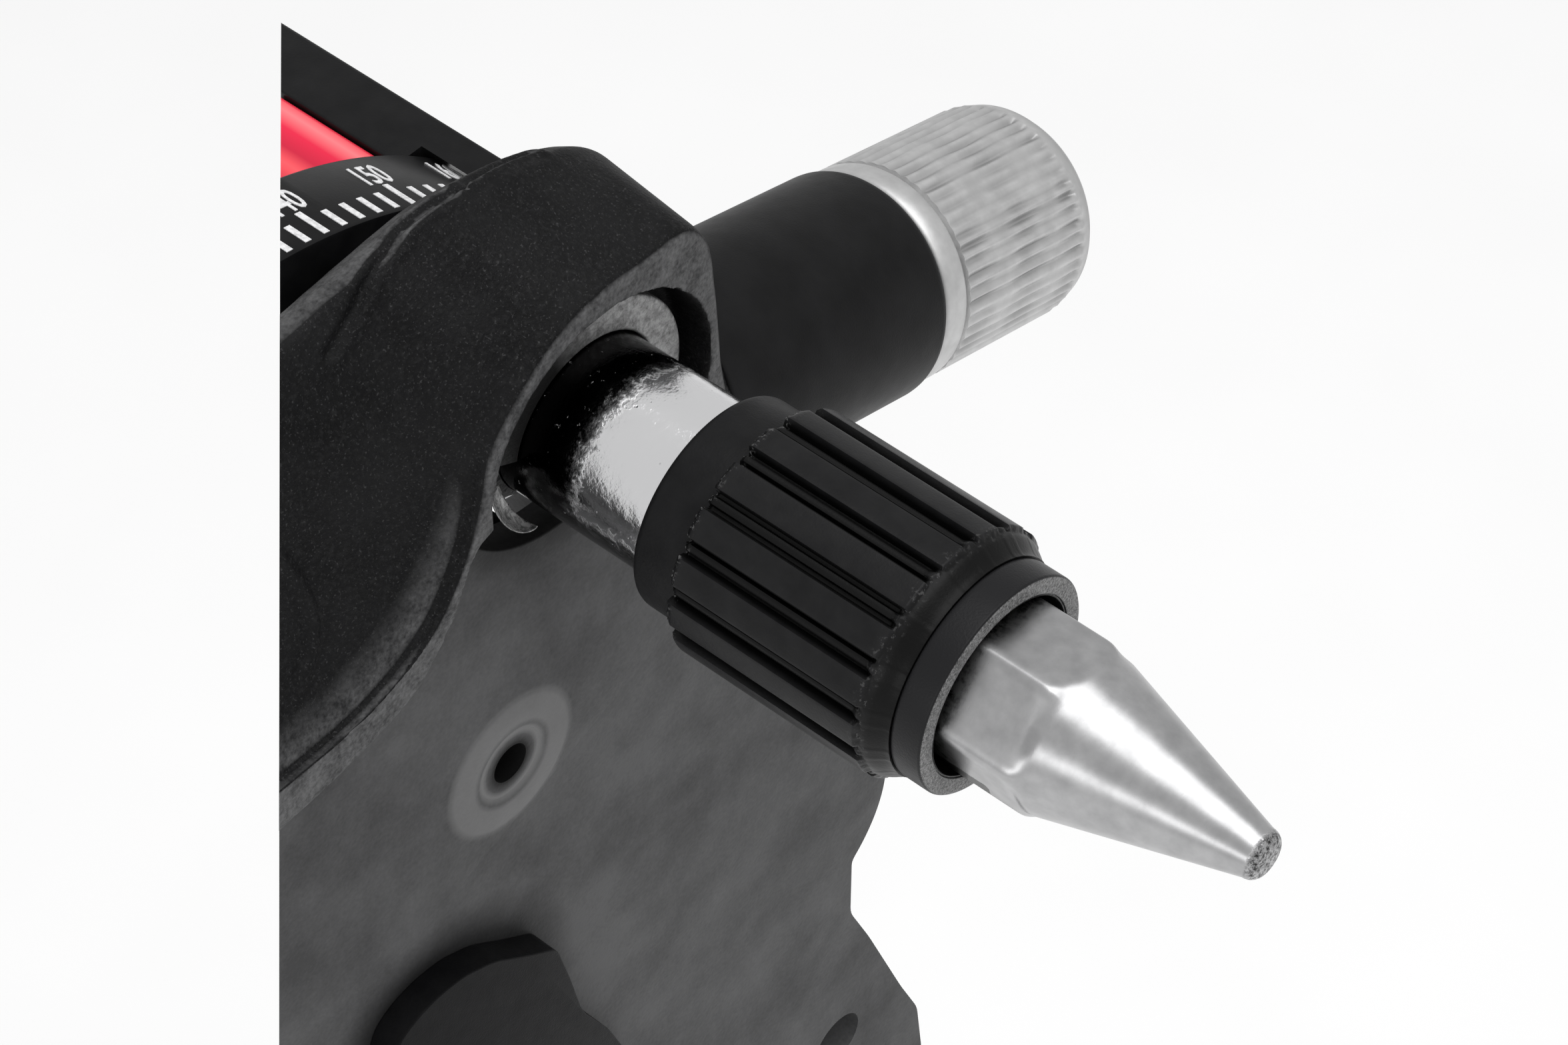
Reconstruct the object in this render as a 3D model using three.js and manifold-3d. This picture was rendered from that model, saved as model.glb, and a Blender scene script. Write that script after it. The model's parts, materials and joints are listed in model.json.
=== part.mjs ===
// Spring-loaded centre punch carried in the cast head of an instrument arm, with a side clamp knob.
// Millimetres, +Z up. The punch axis runs along +X towards the point. The arm, the base cover, the
// index ring and the housing all end in one flat root face, and the origin lies on that face.
import * as THREE from "three";
import { mergeVertices } from "three/addons/utils/BufferGeometryUtils.js";
import Module from "manifold-3d";

const wasm = await Module();
wasm.setup();

// ---- driving dimensions (mm), measured from a point on the punch axis ----
const GAP = 0.3; // between pieces that are cut to suit each other
const ROOT_POINT = [-19.5, -21.55, 2]; // the root face passes here, and the origin is here
const ROOT_TURN = 45; // degrees, of the face's normal from X towards Y
const ROOT_LEAN = 4.65; // degrees, of the face's normal below the horizontal

const BARREL_R = 6.0;
const BARREL_BORE = 4.75;
const BARREL_BACK = -27.2;
const BARREL_FRONT = 6.0;
const CLIP_BACK = -26.8; // the circlip's groove starts here

const COLLAR_BACK = -4.8;
const SLEEVE_BACK = -1.0;
const SLEEVE_FRONT = 13.6;
const SHOULDER_FRONT = 15.2;
const NOSE_FRONT = 17.4;
const COLLAR_R = 7.3;
const SLEEVE_R = 8.5;
const NOSE_R = 7.35;
const NOSE_BORE = 6.15;
const CORE_R = 6.9;
const LANDS = 16;
const GROOVE_DEPTH = 0.85;

const HEX_CORNER_R = 5.9;
const HEX_TURN = 50.4; // degrees, of a hexagon corner from Y towards Z
const HEX_BACK = 12.4;
const HEX_FRONT = 22.6;
const POINT_R = 1.65;
const POINT_END = 36.8;
const PIN_R = 2.5;
const NECK_BACK = 12.2; // back face of the point, which the return spring pushes on

const RIM_X = -13.5; // lower edge of the arm's hood
const ARM_BACK = -25;
const RECESS_R = 9.7;
const RECESS_FLOOR = -16.8;

const PLATE_FRONT = -17;
const PLATE_SKIN = 2.6;
const PLATE_BACK = -27;
const BOSS_AT = [-6.5, -28.6]; // Y and Z of the round boss on the base cover
const BOSS_R = 5.8;

const CROSS_AT = [-22, -2.29, -7.98];
const CROSS_TILT = -16.04; // degrees about X, so that the clamp tube falls towards its knob
const TUBE_R = 8.3;
const TUBE_BORE = 6.6;
const TUBE_START = 14.8;
const TUBE_END = 37.3;
const KNOB_R = 8.0;
const KNOB_END = 55.4;
const KNURLS = 44;
const COTTER_R = 2.0;
const SCREW_START = 19.2;
const SCREW_END = 44;

const RING_CENTRE = [-17.7, -21.8]; // Y and Z
const RING_R = 36.5;
const RING_BORE = 32;
const RING_BACK = -34;
const RING_FRONT = -27.6;

const HOUSING_EDGE = [8.7, 6.5]; // Y and Z of the housing's long upper edge
const HOUSING_BACK = -52;
const HOUSING_FRONT = -27.4;

const rad = THREE.MathUtils.degToRad;

// ---- materials ----
function finish(color, roughness, metalness) {
  return new THREE.MeshStandardMaterial({ color, roughness, metalness });
}

const blackPaint = () => finish(0x17181a, 0.55, 0.1);
const blackPlastic = () => finish(0x101112, 0.5, 0.0);
const greyPaint = () => finish(0x4a4b4d, 0.7, 0.05);
const redPlastic = () => finish(0xd81632, 0.2, 0.0);
const chrome = () => finish(0xd5d6d8, 0.12, 1.0);
const steel = () => finish(0xb4b6b8, 0.3, 1.0);
const aluminium = () => finish(0xc2c4c6, 0.35, 1.0);
const brass = () => finish(0xb08d4a, 0.35, 1.0);

// ---- solids ----
// A closed solid from a geometry, with its faces turned outwards.
function solid(geometry) {
  const bare = geometry.index ? geometry.toNonIndexed() : geometry.clone();
  const plain = new THREE.BufferGeometry();
  plain.setAttribute("position", bare.getAttribute("position"));
  const merged = mergeVertices(plain, 1e-4);
  const triVerts = new Uint32Array(merged.index.array);
  const vertProperties = new Float32Array(merged.getAttribute("position").array);
  if (signedVolume(vertProperties, triVerts) < 0) {
    for (let i = 0; i < triVerts.length; i += 3) {
      [triVerts[i + 1], triVerts[i + 2]] = [triVerts[i + 2], triVerts[i + 1]];
    }
  }
  return new wasm.Manifold(new wasm.Mesh({ numProp: 3, vertProperties, triVerts }));
}

function signedVolume(points, triangles) {
  const a = new THREE.Vector3();
  const b = new THREE.Vector3();
  const c = new THREE.Vector3();
  let sum = 0;
  for (let i = 0; i < triangles.length; i += 3) {
    a.fromArray(points, triangles[i] * 3);
    b.fromArray(points, triangles[i + 1] * 3);
    c.fromArray(points, triangles[i + 2] * 3);
    sum += a.dot(b.cross(c));
  }
  return sum / 6;
}

function geometryOf(made) {
  const got = made.getMesh();
  const geometry = new THREE.BufferGeometry();
  geometry.setAttribute("position", new THREE.BufferAttribute(got.vertProperties, 3));
  geometry.setIndex(new THREE.BufferAttribute(got.triVerts, 1));
  return geometry;
}

// A body turned about X. The profile is a list of [x, radius] pairs.
function turnedX(profile, segments = 40) {
  const points = profile.map(([x, r]) => new THREE.Vector2(r, x));
  const geometry = new THREE.LatheGeometry(points, segments);
  return solid(geometry.rotateZ(-Math.PI / 2));
}

// A body turned about Y, for the clamp's own frame. The profile is a list of [y, radius] pairs.
function turnedY(profile, segments = 40) {
  const points = profile.map(([y, r]) => new THREE.Vector2(r, y));
  return solid(new THREE.LatheGeometry(points, segments));
}

// A closed profile for a hollow turned body.
function ring(x0, x1, inner, outer) {
  return [[x0, inner], [x0, outer], [x1, outer], [x1, inner], [x0, inner]];
}

function rod(x0, x1, r) {
  return [[x0, 0], [x0, r], [x1, r], [x1, 0]];
}

// A flat outline given in Y and Z, drawn out along X from x0 to x1.
function drawnX(outline, x0, x1) {
  const shape = new THREE.Shape(outline.map(([y, z]) => new THREE.Vector2(y, z)));
  const geometry = new THREE.ExtrudeGeometry(shape, { depth: x1 - x0, bevelEnabled: false, steps: 1 });
  const turn = new THREE.Matrix4().makeBasis(
    new THREE.Vector3(0, 1, 0),
    new THREE.Vector3(0, 0, 1),
    new THREE.Vector3(1, 0, 0),
  );
  return solid(geometry.applyMatrix4(turn).translate(x0, 0, 0));
}

function block(low, high) {
  const size = high.map((v, i) => v - low[i]);
  const geometry = new THREE.BoxGeometry(...size);
  return solid(geometry.translate(...low.map((v, i) => v + size[i] / 2)));
}

// Rings of the same number of points, each [x, y, z], skinned one to the next and closed at both ends.
function skinned(rings) {
  const count = rings[0].length;
  const index = [];
  for (let r = 0; r + 1 < rings.length; r += 1) {
    for (let i = 0; i < count; i += 1) {
      const a = r * count + i;
      const b = r * count + ((i + 1) % count);
      index.push(a, b, a + count, b, b + count, a + count);
    }
  }
  const cap = (points, base, flip) => {
    const contour = points.map(([, y, z]) => new THREE.Vector2(y, z));
    for (const [a, b, c] of THREE.ShapeUtils.triangulateShape(contour, [])) {
      index.push(base + a, base + (flip ? c : b), base + (flip ? b : c));
    }
  };
  cap(rings[0], 0, true);
  cap(rings[rings.length - 1], (rings.length - 1) * count, false);
  const geometry = new THREE.BufferGeometry();
  geometry.setAttribute("position", new THREE.Float32BufferAttribute(rings.flat(2), 3));
  geometry.setIndex(index);
  return solid(geometry);
}

// A coil spring along X, closed at both ends, as one round-wire tube.
function coilX(x0, x1, radius, wire, turns) {
  class Helix extends THREE.Curve {
    getPoint(t, target = new THREE.Vector3()) {
      const a = 2 * Math.PI * turns * t;
      return target.set(x0 + (x1 - x0) * t, radius * Math.cos(a), radius * Math.sin(a));
    }
  }
  const shape = new THREE.Shape().absarc(0, 0, wire, 0, 2 * Math.PI, false);
  const options = { steps: Math.round(turns * 10), extrudePath: new Helix(), curveSegments: 3 };
  return solid(new THREE.ExtrudeGeometry(shape, { ...options, bevelEnabled: false }));
}

function arcPoints(cy, cz, r, from, to, steps) {
  return Array.from({ length: steps + 1 }, (_, i) => {
    const a = rad(from + ((to - from) * i) / steps);
    return [cy + r * Math.cos(a), cz + r * Math.sin(a)];
  });
}

// ---- the root face ----
const rootNormal = new THREE.Vector3(
  Math.cos(rad(ROOT_TURN)) * Math.cos(rad(ROOT_LEAN)),
  Math.sin(rad(ROOT_TURN)) * Math.cos(rad(ROOT_LEAN)),
  -Math.sin(rad(ROOT_LEAN)),
);

// Everything behind the root face is cut away from a solid.
function cutAtRoot(made) {
  const reach = 300;
  const half = new THREE.BoxGeometry(reach, reach, reach).translate(-reach / 2, 0, 0);
  const turn = new THREE.Quaternion().setFromUnitVectors(new THREE.Vector3(1, 0, 0), rootNormal);
  half.applyQuaternion(turn).translate(...ROOT_POINT);
  return made.subtract(solid(half));
}

// ---- the clamp's frame ----
const crossMatrix = new THREE.Matrix4()
  .makeRotationX(rad(CROSS_TILT))
  .setPosition(...CROSS_AT);

function intoPunchFrame(made) {
  return solid(geometryOf(made).applyMatrix4(crossMatrix));
}

// ---- the scene graph ----
const part = new THREE.Group();
const assembly = new THREE.Group();
assembly.position.set(...ROOT_POINT.map((v) => -v));
part.add(assembly);

const clamp = new THREE.Group();
clamp.position.set(...CROSS_AT);
clamp.rotation.x = rad(CROSS_TILT);
assembly.add(clamp);

function add(name, made, material, group = assembly) {
  const mesh = new THREE.Mesh(geometryOf(made), material);
  mesh.name = name;
  group.add(mesh);
}

// ---- arm casting: a hood over the punch that widens into the arm ----
// Each pair is the hood's lower edge and the arm's upper edge, both as [Y, Z].
const ARM_OUTLINE = [
  [[11.3, -9.0], [11.8, -9.0]],
  [[11.0, -2.0], [11.6, -2.0]],
  [[10.6, 4.2], [11.3, 5.0]],
  [[9.9, 8.8], [10.3, 9.8]],
  [[8.0, 11.2], [8.0, 12.6]],
  [[4.0, 11.7], [4.0, 14.6]],
  [[0.0, 11.8], [0.0, 15.8]],
  [[-3.5, 11.0], [-4.3, 16.6]],
  [[-7.0, 8.7], [-8.5, 16.4]],
  [[-9.9, 5.5], [-12.0, 16.0]],
  [[-10.8, 2.2], [-16.0, 15.4]],
  [[-12.8, -2.2], [-21.0, 14.6]],
  [[-15.7, -5.6], [-26.0, 13.6]],
  [[-21.0, -7.8], [-30.0, 12.5]],
  [[-34.0, -8.8], [-36.0, 11.0]],
  [[-34.0, -11.0], [-36.0, -10.4]],
  [[-18.0, -9.8], [-18.0, -10.3]],
  [[-14.3, -6.4], [-14.3, -6.6]],
  [[-11.3, -1.5], [-11.3, -4.0]],
  [[-6.0, -2.0], [-6.0, -7.4]],
  [[0.0, -6.0], [0.0, -9.4]],
  [[8.6, -9.4], [8.6, -9.4]],
];

// The closed outline a share of the way from the lower edge to the upper edge, drawn in by inset.
function armRing(x, share, inset) {
  const middle = [-6, 2];
  const points = ARM_OUTLINE.map(([low, high]) => {
    const y = low[0] + (high[0] - low[0]) * share;
    const z = low[1] + (high[1] - low[1]) * share;
    const away = Math.hypot(y - middle[0], z - middle[1]);
    const pull = 1 - inset / away;
    return new THREE.Vector3(0, middle[0] + (y - middle[0]) * pull, middle[1] + (z - middle[1]) * pull);
  });
  const curve = new THREE.CatmullRomCurve3(points, true, "centripetal");
  return curve.getPoints(66).slice(0, 66).map((p) => [x, p.y, p.z]);
}

function armCasting() {
  const body = skinned([
    armRing(ARM_BACK, 1, 1.8),
    armRing(ARM_BACK + 0.8, 1, 0.6),
    armRing(ARM_BACK + 2.2, 0.97, 0),
    armRing(-19, 0.56, 0),
    armRing(-15.5, 0.2, 0),
    armRing(RIM_X - 0.6, 0, 0),
    armRing(RIM_X, 0, 0.5),
  ]);
  const socket = intoPunchFrame(turnedY(rod(8, TUBE_START - GAP, TUBE_R - 0.1)))
    .subtract(block([-40, -40, -40], [0, 7, 20]))
    .subtract(block([-40, -40, -40], [ARM_BACK, 40, 20]));
  return cutAtRoot(body.add(socket))
    .subtract(turnedX(rod(RECESS_FLOOR, 0, RECESS_R), 48))
    .subtract(turnedX(rod(-40, 0, BARREL_R + 0.05), 48))
    .subtract(intoPunchFrame(turnedY(rod(-14, 20, COTTER_R + GAP))));
}

add("arm_casting", armCasting(), blackPaint());

// ---- base cover: a shallow tray behind the punch, square to its axis ----
const COVER_OUTLINE = [
  [-45, -12.4],
  [-18.4, -11.7],
  [-14.3, -8.2],
  [-11.6, -6.4],
  ...arcPoints(0, 0, 10.3, 215, 278, 8),
  [6.3, -11.4],
  [6.6, -20],
  [10, -23.5],
  [14, -26.5],
  [30, -50],
  [32.4, -60],
  ...arcPoints(22.4, -65, 10, 8, -52, 6),
  [28.5, -79.3],
  [30.8, -84.6],
  [35, -95.4],
  [37.2, -100.5],
  [38, -107],
  [37, -112],
  [-45, -26.4],
];
const COVER_POCKET = [
  [-60, 5],
  [4.2, 5],
  [4.2, -20.8],
  [12.2, -28.6],
  [27.7, -51],
  [30, -61],
  [29.4, -67],
  [26.4, -76],
  [26, -79.6],
  [32.6, -96],
  [34.8, -101],
  [35.2, -107],
  [-60, -8],
];

function baseCover() {
  const tray = drawnX(COVER_OUTLINE, PLATE_BACK, PLATE_FRONT)
    .subtract(drawnX(COVER_POCKET, PLATE_BACK - 1, PLATE_FRONT - PLATE_SKIN));
  const boss = turnedX([
    [-19.8, 0],
    [-19.8, BOSS_R - 0.8],
    [PLATE_FRONT, BOSS_R],
    [PLATE_FRONT + 0.25, BOSS_R - 0.4],
    [PLATE_FRONT + 0.25, 0],
  ]);
  const sink = turnedX([[-18.2, 0], [-18.2, 1.6], [-16.4, 3.2], [-16.4, 0]]);
  const hole = turnedX(rod(-30, 0, 1.5), 32);
  const slot = turnedX(rod(-30, 0, 2.6), 32);
  const at = (made, [y, z]) => made.translate([0, y, z]);
  return cutAtRoot(tray.add(at(boss, BOSS_AT)))
    .subtract(at(sink, BOSS_AT))
    .subtract(at(hole, BOSS_AT))
    .subtract(at(slot, [27, -94.5]))
    .subtract(intoPunchFrame(turnedY(rod(-14, 20, COTTER_R + GAP))));
}

add("base_cover", baseCover(), greyPaint());

// ---- a black cap over the middle of the base cover ----
const CAP_FRONT = PLATE_FRONT + 2.2;
const CAP_OUTLINE = [
  [-21.6, -45.8],
  [-20.6, -43.2],
  [-18.8, -42.1],
  [-16.7, -41.7],
  [-14.2, -41.9],
  [-11.4, -43.1],
  [-8.0, -45.8],
  [-5.3, -47.7],
  [-4.2, -52.2],
  [-3.2, -57.1],
  [-0.7, -61.8],
  [2.2, -69.5],
];
add("centre_cap", drawnX(CAP_OUTLINE, PLATE_FRONT, CAP_FRONT), blackPlastic());

// ---- the screw that holds the base cover, and the arm lug that it goes into ----
function coverScrew() {
  const head = turnedX([[-21.2, 0], [-21.2, 1.25], [-18.9, 1.35], [-18.9, 0]], 24);
  const shank = turnedX(rod(-27.5, -21, 1.1), 24);
  return head.add(shank).translate([0, ...BOSS_AT]);
}
function coverLug() {
  const lug = block([-26.5, -11, -33], [-20, -2, -10.9]);
  return lug.subtract(turnedX(rod(-30, 0, 1.45), 24).translate([0, ...BOSS_AT]));
}
add("cover_lug", cutAtRoot(coverLug()), blackPaint());
add("cover_screw", coverScrew(), steel());

// ---- punch barrel and what it holds ----
const bevel = 0.25;
add("barrel", turnedX([
  [BARREL_BACK, BARREL_BORE],
  [BARREL_BACK, BARREL_R - bevel],
  [BARREL_BACK + bevel, BARREL_R],
  [CLIP_BACK - 0.05, BARREL_R],
  [CLIP_BACK - 0.05, BARREL_R - 0.5],
  [CLIP_BACK + 0.65, BARREL_R - 0.5],
  [CLIP_BACK + 0.65, BARREL_R],
  [BARREL_FRONT - bevel, BARREL_R],
  [BARREL_FRONT, BARREL_R - bevel],
  [BARREL_FRONT, BARREL_BORE],
  [BARREL_BACK, BARREL_BORE],
], 48), chrome());

function circlip() {
  const whole = turnedX(ring(CLIP_BACK, CLIP_BACK + 0.6, BARREL_R - 0.45, BARREL_R + 1.4), 48);
  return whole.subtract(block([-30, -1.6, 3], [-20, 1.6, 12]));
}
add("circlip", circlip(), steel());
add("back_washer", turnedX(ring(CLIP_BACK + 0.65, ARM_BACK - 0.1, BARREL_R + 0.1, 8.6), 48), steel());

// The cast disc at the back of the recess, cut away below so that the recess opens downwards.
function recessDisc() {
  const disc = turnedX(ring(RECESS_FLOOR, -15, BARREL_R + 0.1, RECESS_R - 0.25), 48);
  const away = drawnX([[-20, 8.5], [20, -12.5], [20, -30], [-20, -30]], -20, -10);
  return disc.subtract(away);
}
add("recess_disc", recessDisc(), aluminium());

// A thin steel clip between the barrel and the hood, curled forward along its outer edge.
function springClip() {
  const whole = turnedX([
    [-15.9, BARREL_R + 0.15],
    [-15.9, 8.2],
    [-15.2, 8.9],
    [-14.2, 9.3],
    [-14.0, 9.0],
    [-14.9, 8.6],
    [-15.4, 8.0],
    [-15.4, BARREL_R + 0.15],
    [-15.9, BARREL_R + 0.15],
  ], 48);
  const keep = drawnX([[0, 0], ...arcPoints(0, 0, 14, 172, 222, 4)], -20, -10);
  return whole.intersect(keep);
}
add("spring_clip", springClip(), steel());

add("adjuster_plug", turnedX(rod(BARREL_BACK, -24.6, BARREL_BORE - 0.05))
  .subtract(block([-29, -5, -0.5], [-26.2, 5, 0.5])), brass());
add("main_spring", coilX(-23.9, -14.6, 3.3, 0.45, 7), steel());
add("striker", turnedX([[-14, 0], [-14, 4.55], [-3.4, 4.55], [-2.6, 3.6], [-2.6, 0]]), steel());
add("front_bush", turnedX(ring(1.6, 5.6, PIN_R + 0.05, 4.7)), brass());
add("drive_pin", turnedX([
  [-2.5, 0],
  [-2.5, PIN_R - 0.4],
  [-2.1, PIN_R],
  [NECK_BACK - 0.1, PIN_R],
  [NECK_BACK - 0.1, 0],
], 36), steel());
add("return_spring", coilX(6.5, NECK_BACK - 0.4, 3.7, 0.3, 3), steel());

// ---- turning sleeve ----
add("rear_collar", turnedX([
  [COLLAR_BACK, BARREL_R + 0.1],
  [COLLAR_BACK, COLLAR_R - 0.7],
  [COLLAR_BACK + 0.25, COLLAR_R - 0.2],
  [COLLAR_BACK + 0.8, COLLAR_R],
  [SLEEVE_BACK - 0.02, COLLAR_R],
  [SLEEVE_BACK - 0.02, BARREL_R + 0.1],
  [COLLAR_BACK, BARREL_R + 0.1],
], 48), blackPlastic());

// The sleeve's radius at an angle: flat lands, and between them a groove with a low bead along it.
function ribRadius(share) {
  const land = 0.27;
  const foot = 0.33;
  const bead = 0.43;
  const from = Math.abs(share - 0.5);
  const away = 0.5 - from;
  if (away < land) return SLEEVE_R;
  if (away < foot) return SLEEVE_R - (GROOVE_DEPTH * (away - land)) / (foot - land);
  if (away < bead) return SLEEVE_R - GROOVE_DEPTH;
  return SLEEVE_R - GROOVE_DEPTH * 0.55;
}

function gripSleeve() {
  const shares = [0, 0.26, 0.28, 0.34, 0.42, 0.46, 0.54, 0.58, 0.66, 0.72, 0.74];
  const outline = [];
  for (let i = 0; i < LANDS; i += 1) {
    for (const share of shares) {
      const a = (2 * Math.PI * (i + share)) / LANDS;
      const r = ribRadius(share);
      outline.push([r * Math.cos(a), r * Math.sin(a)]);
    }
  }
  const shoulder = turnedX([
    [SLEEVE_FRONT - 0.9, 0],
    [SLEEVE_FRONT - 0.9, SLEEVE_R - 0.15],
    [SLEEVE_FRONT, SLEEVE_R - 0.1],
    [SHOULDER_FRONT, NOSE_R + 0.1],
    [SHOULDER_FRONT, 0],
  ], 48);
  return drawnX(outline, SLEEVE_BACK, SLEEVE_FRONT)
    .add(shoulder)
    .subtract(turnedX(rod(-2, 20, CORE_R + 0.05), 48));
}
add("grip_sleeve", gripSleeve(), blackPlastic());

add("sleeve_core", turnedX([
  [-0.9, BARREL_R + 0.1],
  [-0.9, CORE_R],
  [SHOULDER_FRONT - 0.1, CORE_R],
  [SHOULDER_FRONT - 0.1, NOSE_BORE],
  [6.3, NOSE_BORE],
  [6.3, BARREL_R + 0.1],
  [-0.9, BARREL_R + 0.1],
], 48), brass());

add("nose_ring", turnedX([
  [SHOULDER_FRONT + 0.02, NOSE_BORE],
  [SHOULDER_FRONT + 0.02, NOSE_R],
  [NOSE_FRONT - 0.7, NOSE_R],
  [NOSE_FRONT - 0.2, NOSE_R - 0.2],
  [NOSE_FRONT, NOSE_R - 0.55],
  [NOSE_FRONT, NOSE_BORE + 0.15],
  [NOSE_FRONT - 0.2, NOSE_BORE],
  [SHOULDER_FRONT + 0.02, NOSE_BORE],
], 48), blackPlastic());

// ---- point: a hexagon that runs into a cone ----
function punchPoint() {
  const hexagon = arcPoints(0, 0, HEX_CORNER_R, HEX_TURN, HEX_TURN + 300, 5);
  const prism = drawnX(hexagon, HEX_BACK, POINT_END);
  const cone = turnedX([
    [HEX_BACK - 1, 0],
    [HEX_BACK - 1, HEX_CORNER_R],
    [HEX_FRONT - 0.6, HEX_CORNER_R],
    [HEX_FRONT + 0.4, HEX_CORNER_R - 0.2],
    [POINT_END - 0.75, POINT_R],
    [POINT_END - 0.2, POINT_R - 0.35],
    [POINT_END - 0.02, POINT_R - 0.8],
    [POINT_END - 0.02, 0],
  ], 48);
  const neck = turnedX(rod(NECK_BACK, HEX_BACK + 0.5, 5), 48);
  return prism.intersect(cone).add(neck);
}
add("punch_point", punchPoint(), steel());

// ---- side clamp: tube, knob, screw and cotter, along the clamp's own Y ----
add("clamp_tube", turnedY([
  [TUBE_START, COTTER_R + GAP],
  [TUBE_START, TUBE_R],
  [TUBE_END - 1.0, TUBE_R],
  [TUBE_END - 0.3, TUBE_R - 0.3],
  [TUBE_END, TUBE_R - 0.9],
  [TUBE_END, TUBE_BORE],
  [TUBE_START + 3, TUBE_BORE],
  [TUBE_START + 3, COTTER_R + GAP],
  [TUBE_START, COTTER_R + GAP],
], 48), blackPaint(), clamp);

// The knob's knurled stretch is a toothed prism between a plain flange and a chamfered end.
function knurledKnob() {
  const flange = turnedY([
    [TUBE_END - 4.5, 0],
    [TUBE_END - 4.5, TUBE_BORE - 0.15],
    [TUBE_END + 0.15, TUBE_BORE - 0.15],
    [TUBE_END + 0.15, KNOB_R - 0.4],
    [TUBE_END + 0.5, KNOB_R],
    [TUBE_END + 1.9, KNOB_R],
    [TUBE_END + 2.1, KNOB_R - 0.7],
    [TUBE_END + 2.9, KNOB_R - 0.7],
    [KNOB_END - 2.4, KNOB_R - 0.25],
    [KNOB_END - 1.2, KNOB_R - 0.3],
    [KNOB_END - 0.35, KNOB_R - 0.8],
    [KNOB_END, KNOB_R - 1.8],
    [KNOB_END, 0],
  ], 48);
  const teeth = [];
  for (let i = 0; i < KNURLS * 2; i += 1) {
    const a = (Math.PI * i) / KNURLS;
    const r = i % 2 ? KNOB_R - 0.3 : KNOB_R + 0.05;
    teeth.push(new THREE.Vector2(r * Math.cos(a), r * Math.sin(a)));
  }
  const length = KNOB_END - 2.4 - (TUBE_END + 2.9);
  const geometry = new THREE.ExtrudeGeometry(new THREE.Shape(teeth), { depth: length, bevelEnabled: false });
  geometry.rotateX(-Math.PI / 2).translate(0, TUBE_END + 2.9, 0);
  return flange
    .add(solid(geometry))
    .subtract(turnedY(rod(20, SCREW_END + 1, COTTER_R + 0.05), 32));
}
add("knurled_knob", knurledKnob(), aluminium(), clamp);
add("clamp_screw", turnedY(rod(SCREW_START, SCREW_END, COTTER_R), 32), steel(), clamp);
add("clamp_cotter", turnedY([
  [-5, 0],
  [-5, COTTER_R - 0.4],
  [-4.6, COTTER_R],
  [SCREW_START - GAP, COTTER_R],
  [SCREW_START - GAP, 0],
], 32), steel(), clamp);

// ---- index ring: the arc of the graduated ring that the root face leaves ----
function indexRing() {
  const outer = arcPoints(...RING_CENTRE, RING_R, 32, 140, 40);
  const inner = arcPoints(...RING_CENTRE, RING_BORE, 140, 32, 40);
  return cutAtRoot(drawnX([...outer, ...inner], RING_BACK, RING_FRONT));
}
add("index_ring", indexRing(), blackPlastic());

function ringCarrier() {
  const outline = [...arcPoints(...RING_CENTRE, RING_BORE - 0.15, 24, 110, 22), [-30, -4], [-20, -10.4]];
  const hole = turnedX(rod(-40, 0, BARREL_R + 0.3), 48);
  const pocket = turnedX(rod(-28, 0, 9.2), 48);
  const socket = intoPunchFrame(turnedY(rod(4, 40, TUBE_R + GAP)));
  return cutAtRoot(drawnX(outline, RING_BACK, ARM_BACK - 0.1))
    .subtract(hole)
    .subtract(pocket)
    .subtract(socket);
}
add("ring_carrier", ringCarrier(), blackPaint());

// ---- housing behind the ring, with a glossy red panel along its top ----
function upperHousing() {
  const [edge, top] = HOUSING_EDGE;
  const body = block([HOUSING_BACK, -9, -8], [HOUSING_FRONT, edge, top]);
  const seat = block([HOUSING_BACK - 1, -20, 3.6], [0, 4.0, 20]);
  const clear = turnedX(rod(RING_BACK - GAP, 0, RING_R + 0.5), 96).translate([0, ...RING_CENTRE]);
  return cutAtRoot(body.subtract(seat).subtract(clear));
}
add("upper_housing", upperHousing(), blackPlastic());
add("red_panel", cutAtRoot(block([HOUSING_BACK, -8.8, 3.7], [RING_BACK - GAP, 3.9, 6.3])), redPlastic());

export default part;
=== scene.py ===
"""Looks of the centre punch and its cast head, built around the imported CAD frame.

Shapes are given in millimetres in two frames: the punch's own, with +X along its axis to the point,
and the clamp's own, with +X along its axis to the knob. Both come from the joints of the CAD model.
"""

import json
import math
import random

import bmesh
import bpy
import numpy as np
from mathutils import Matrix, Vector


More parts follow.
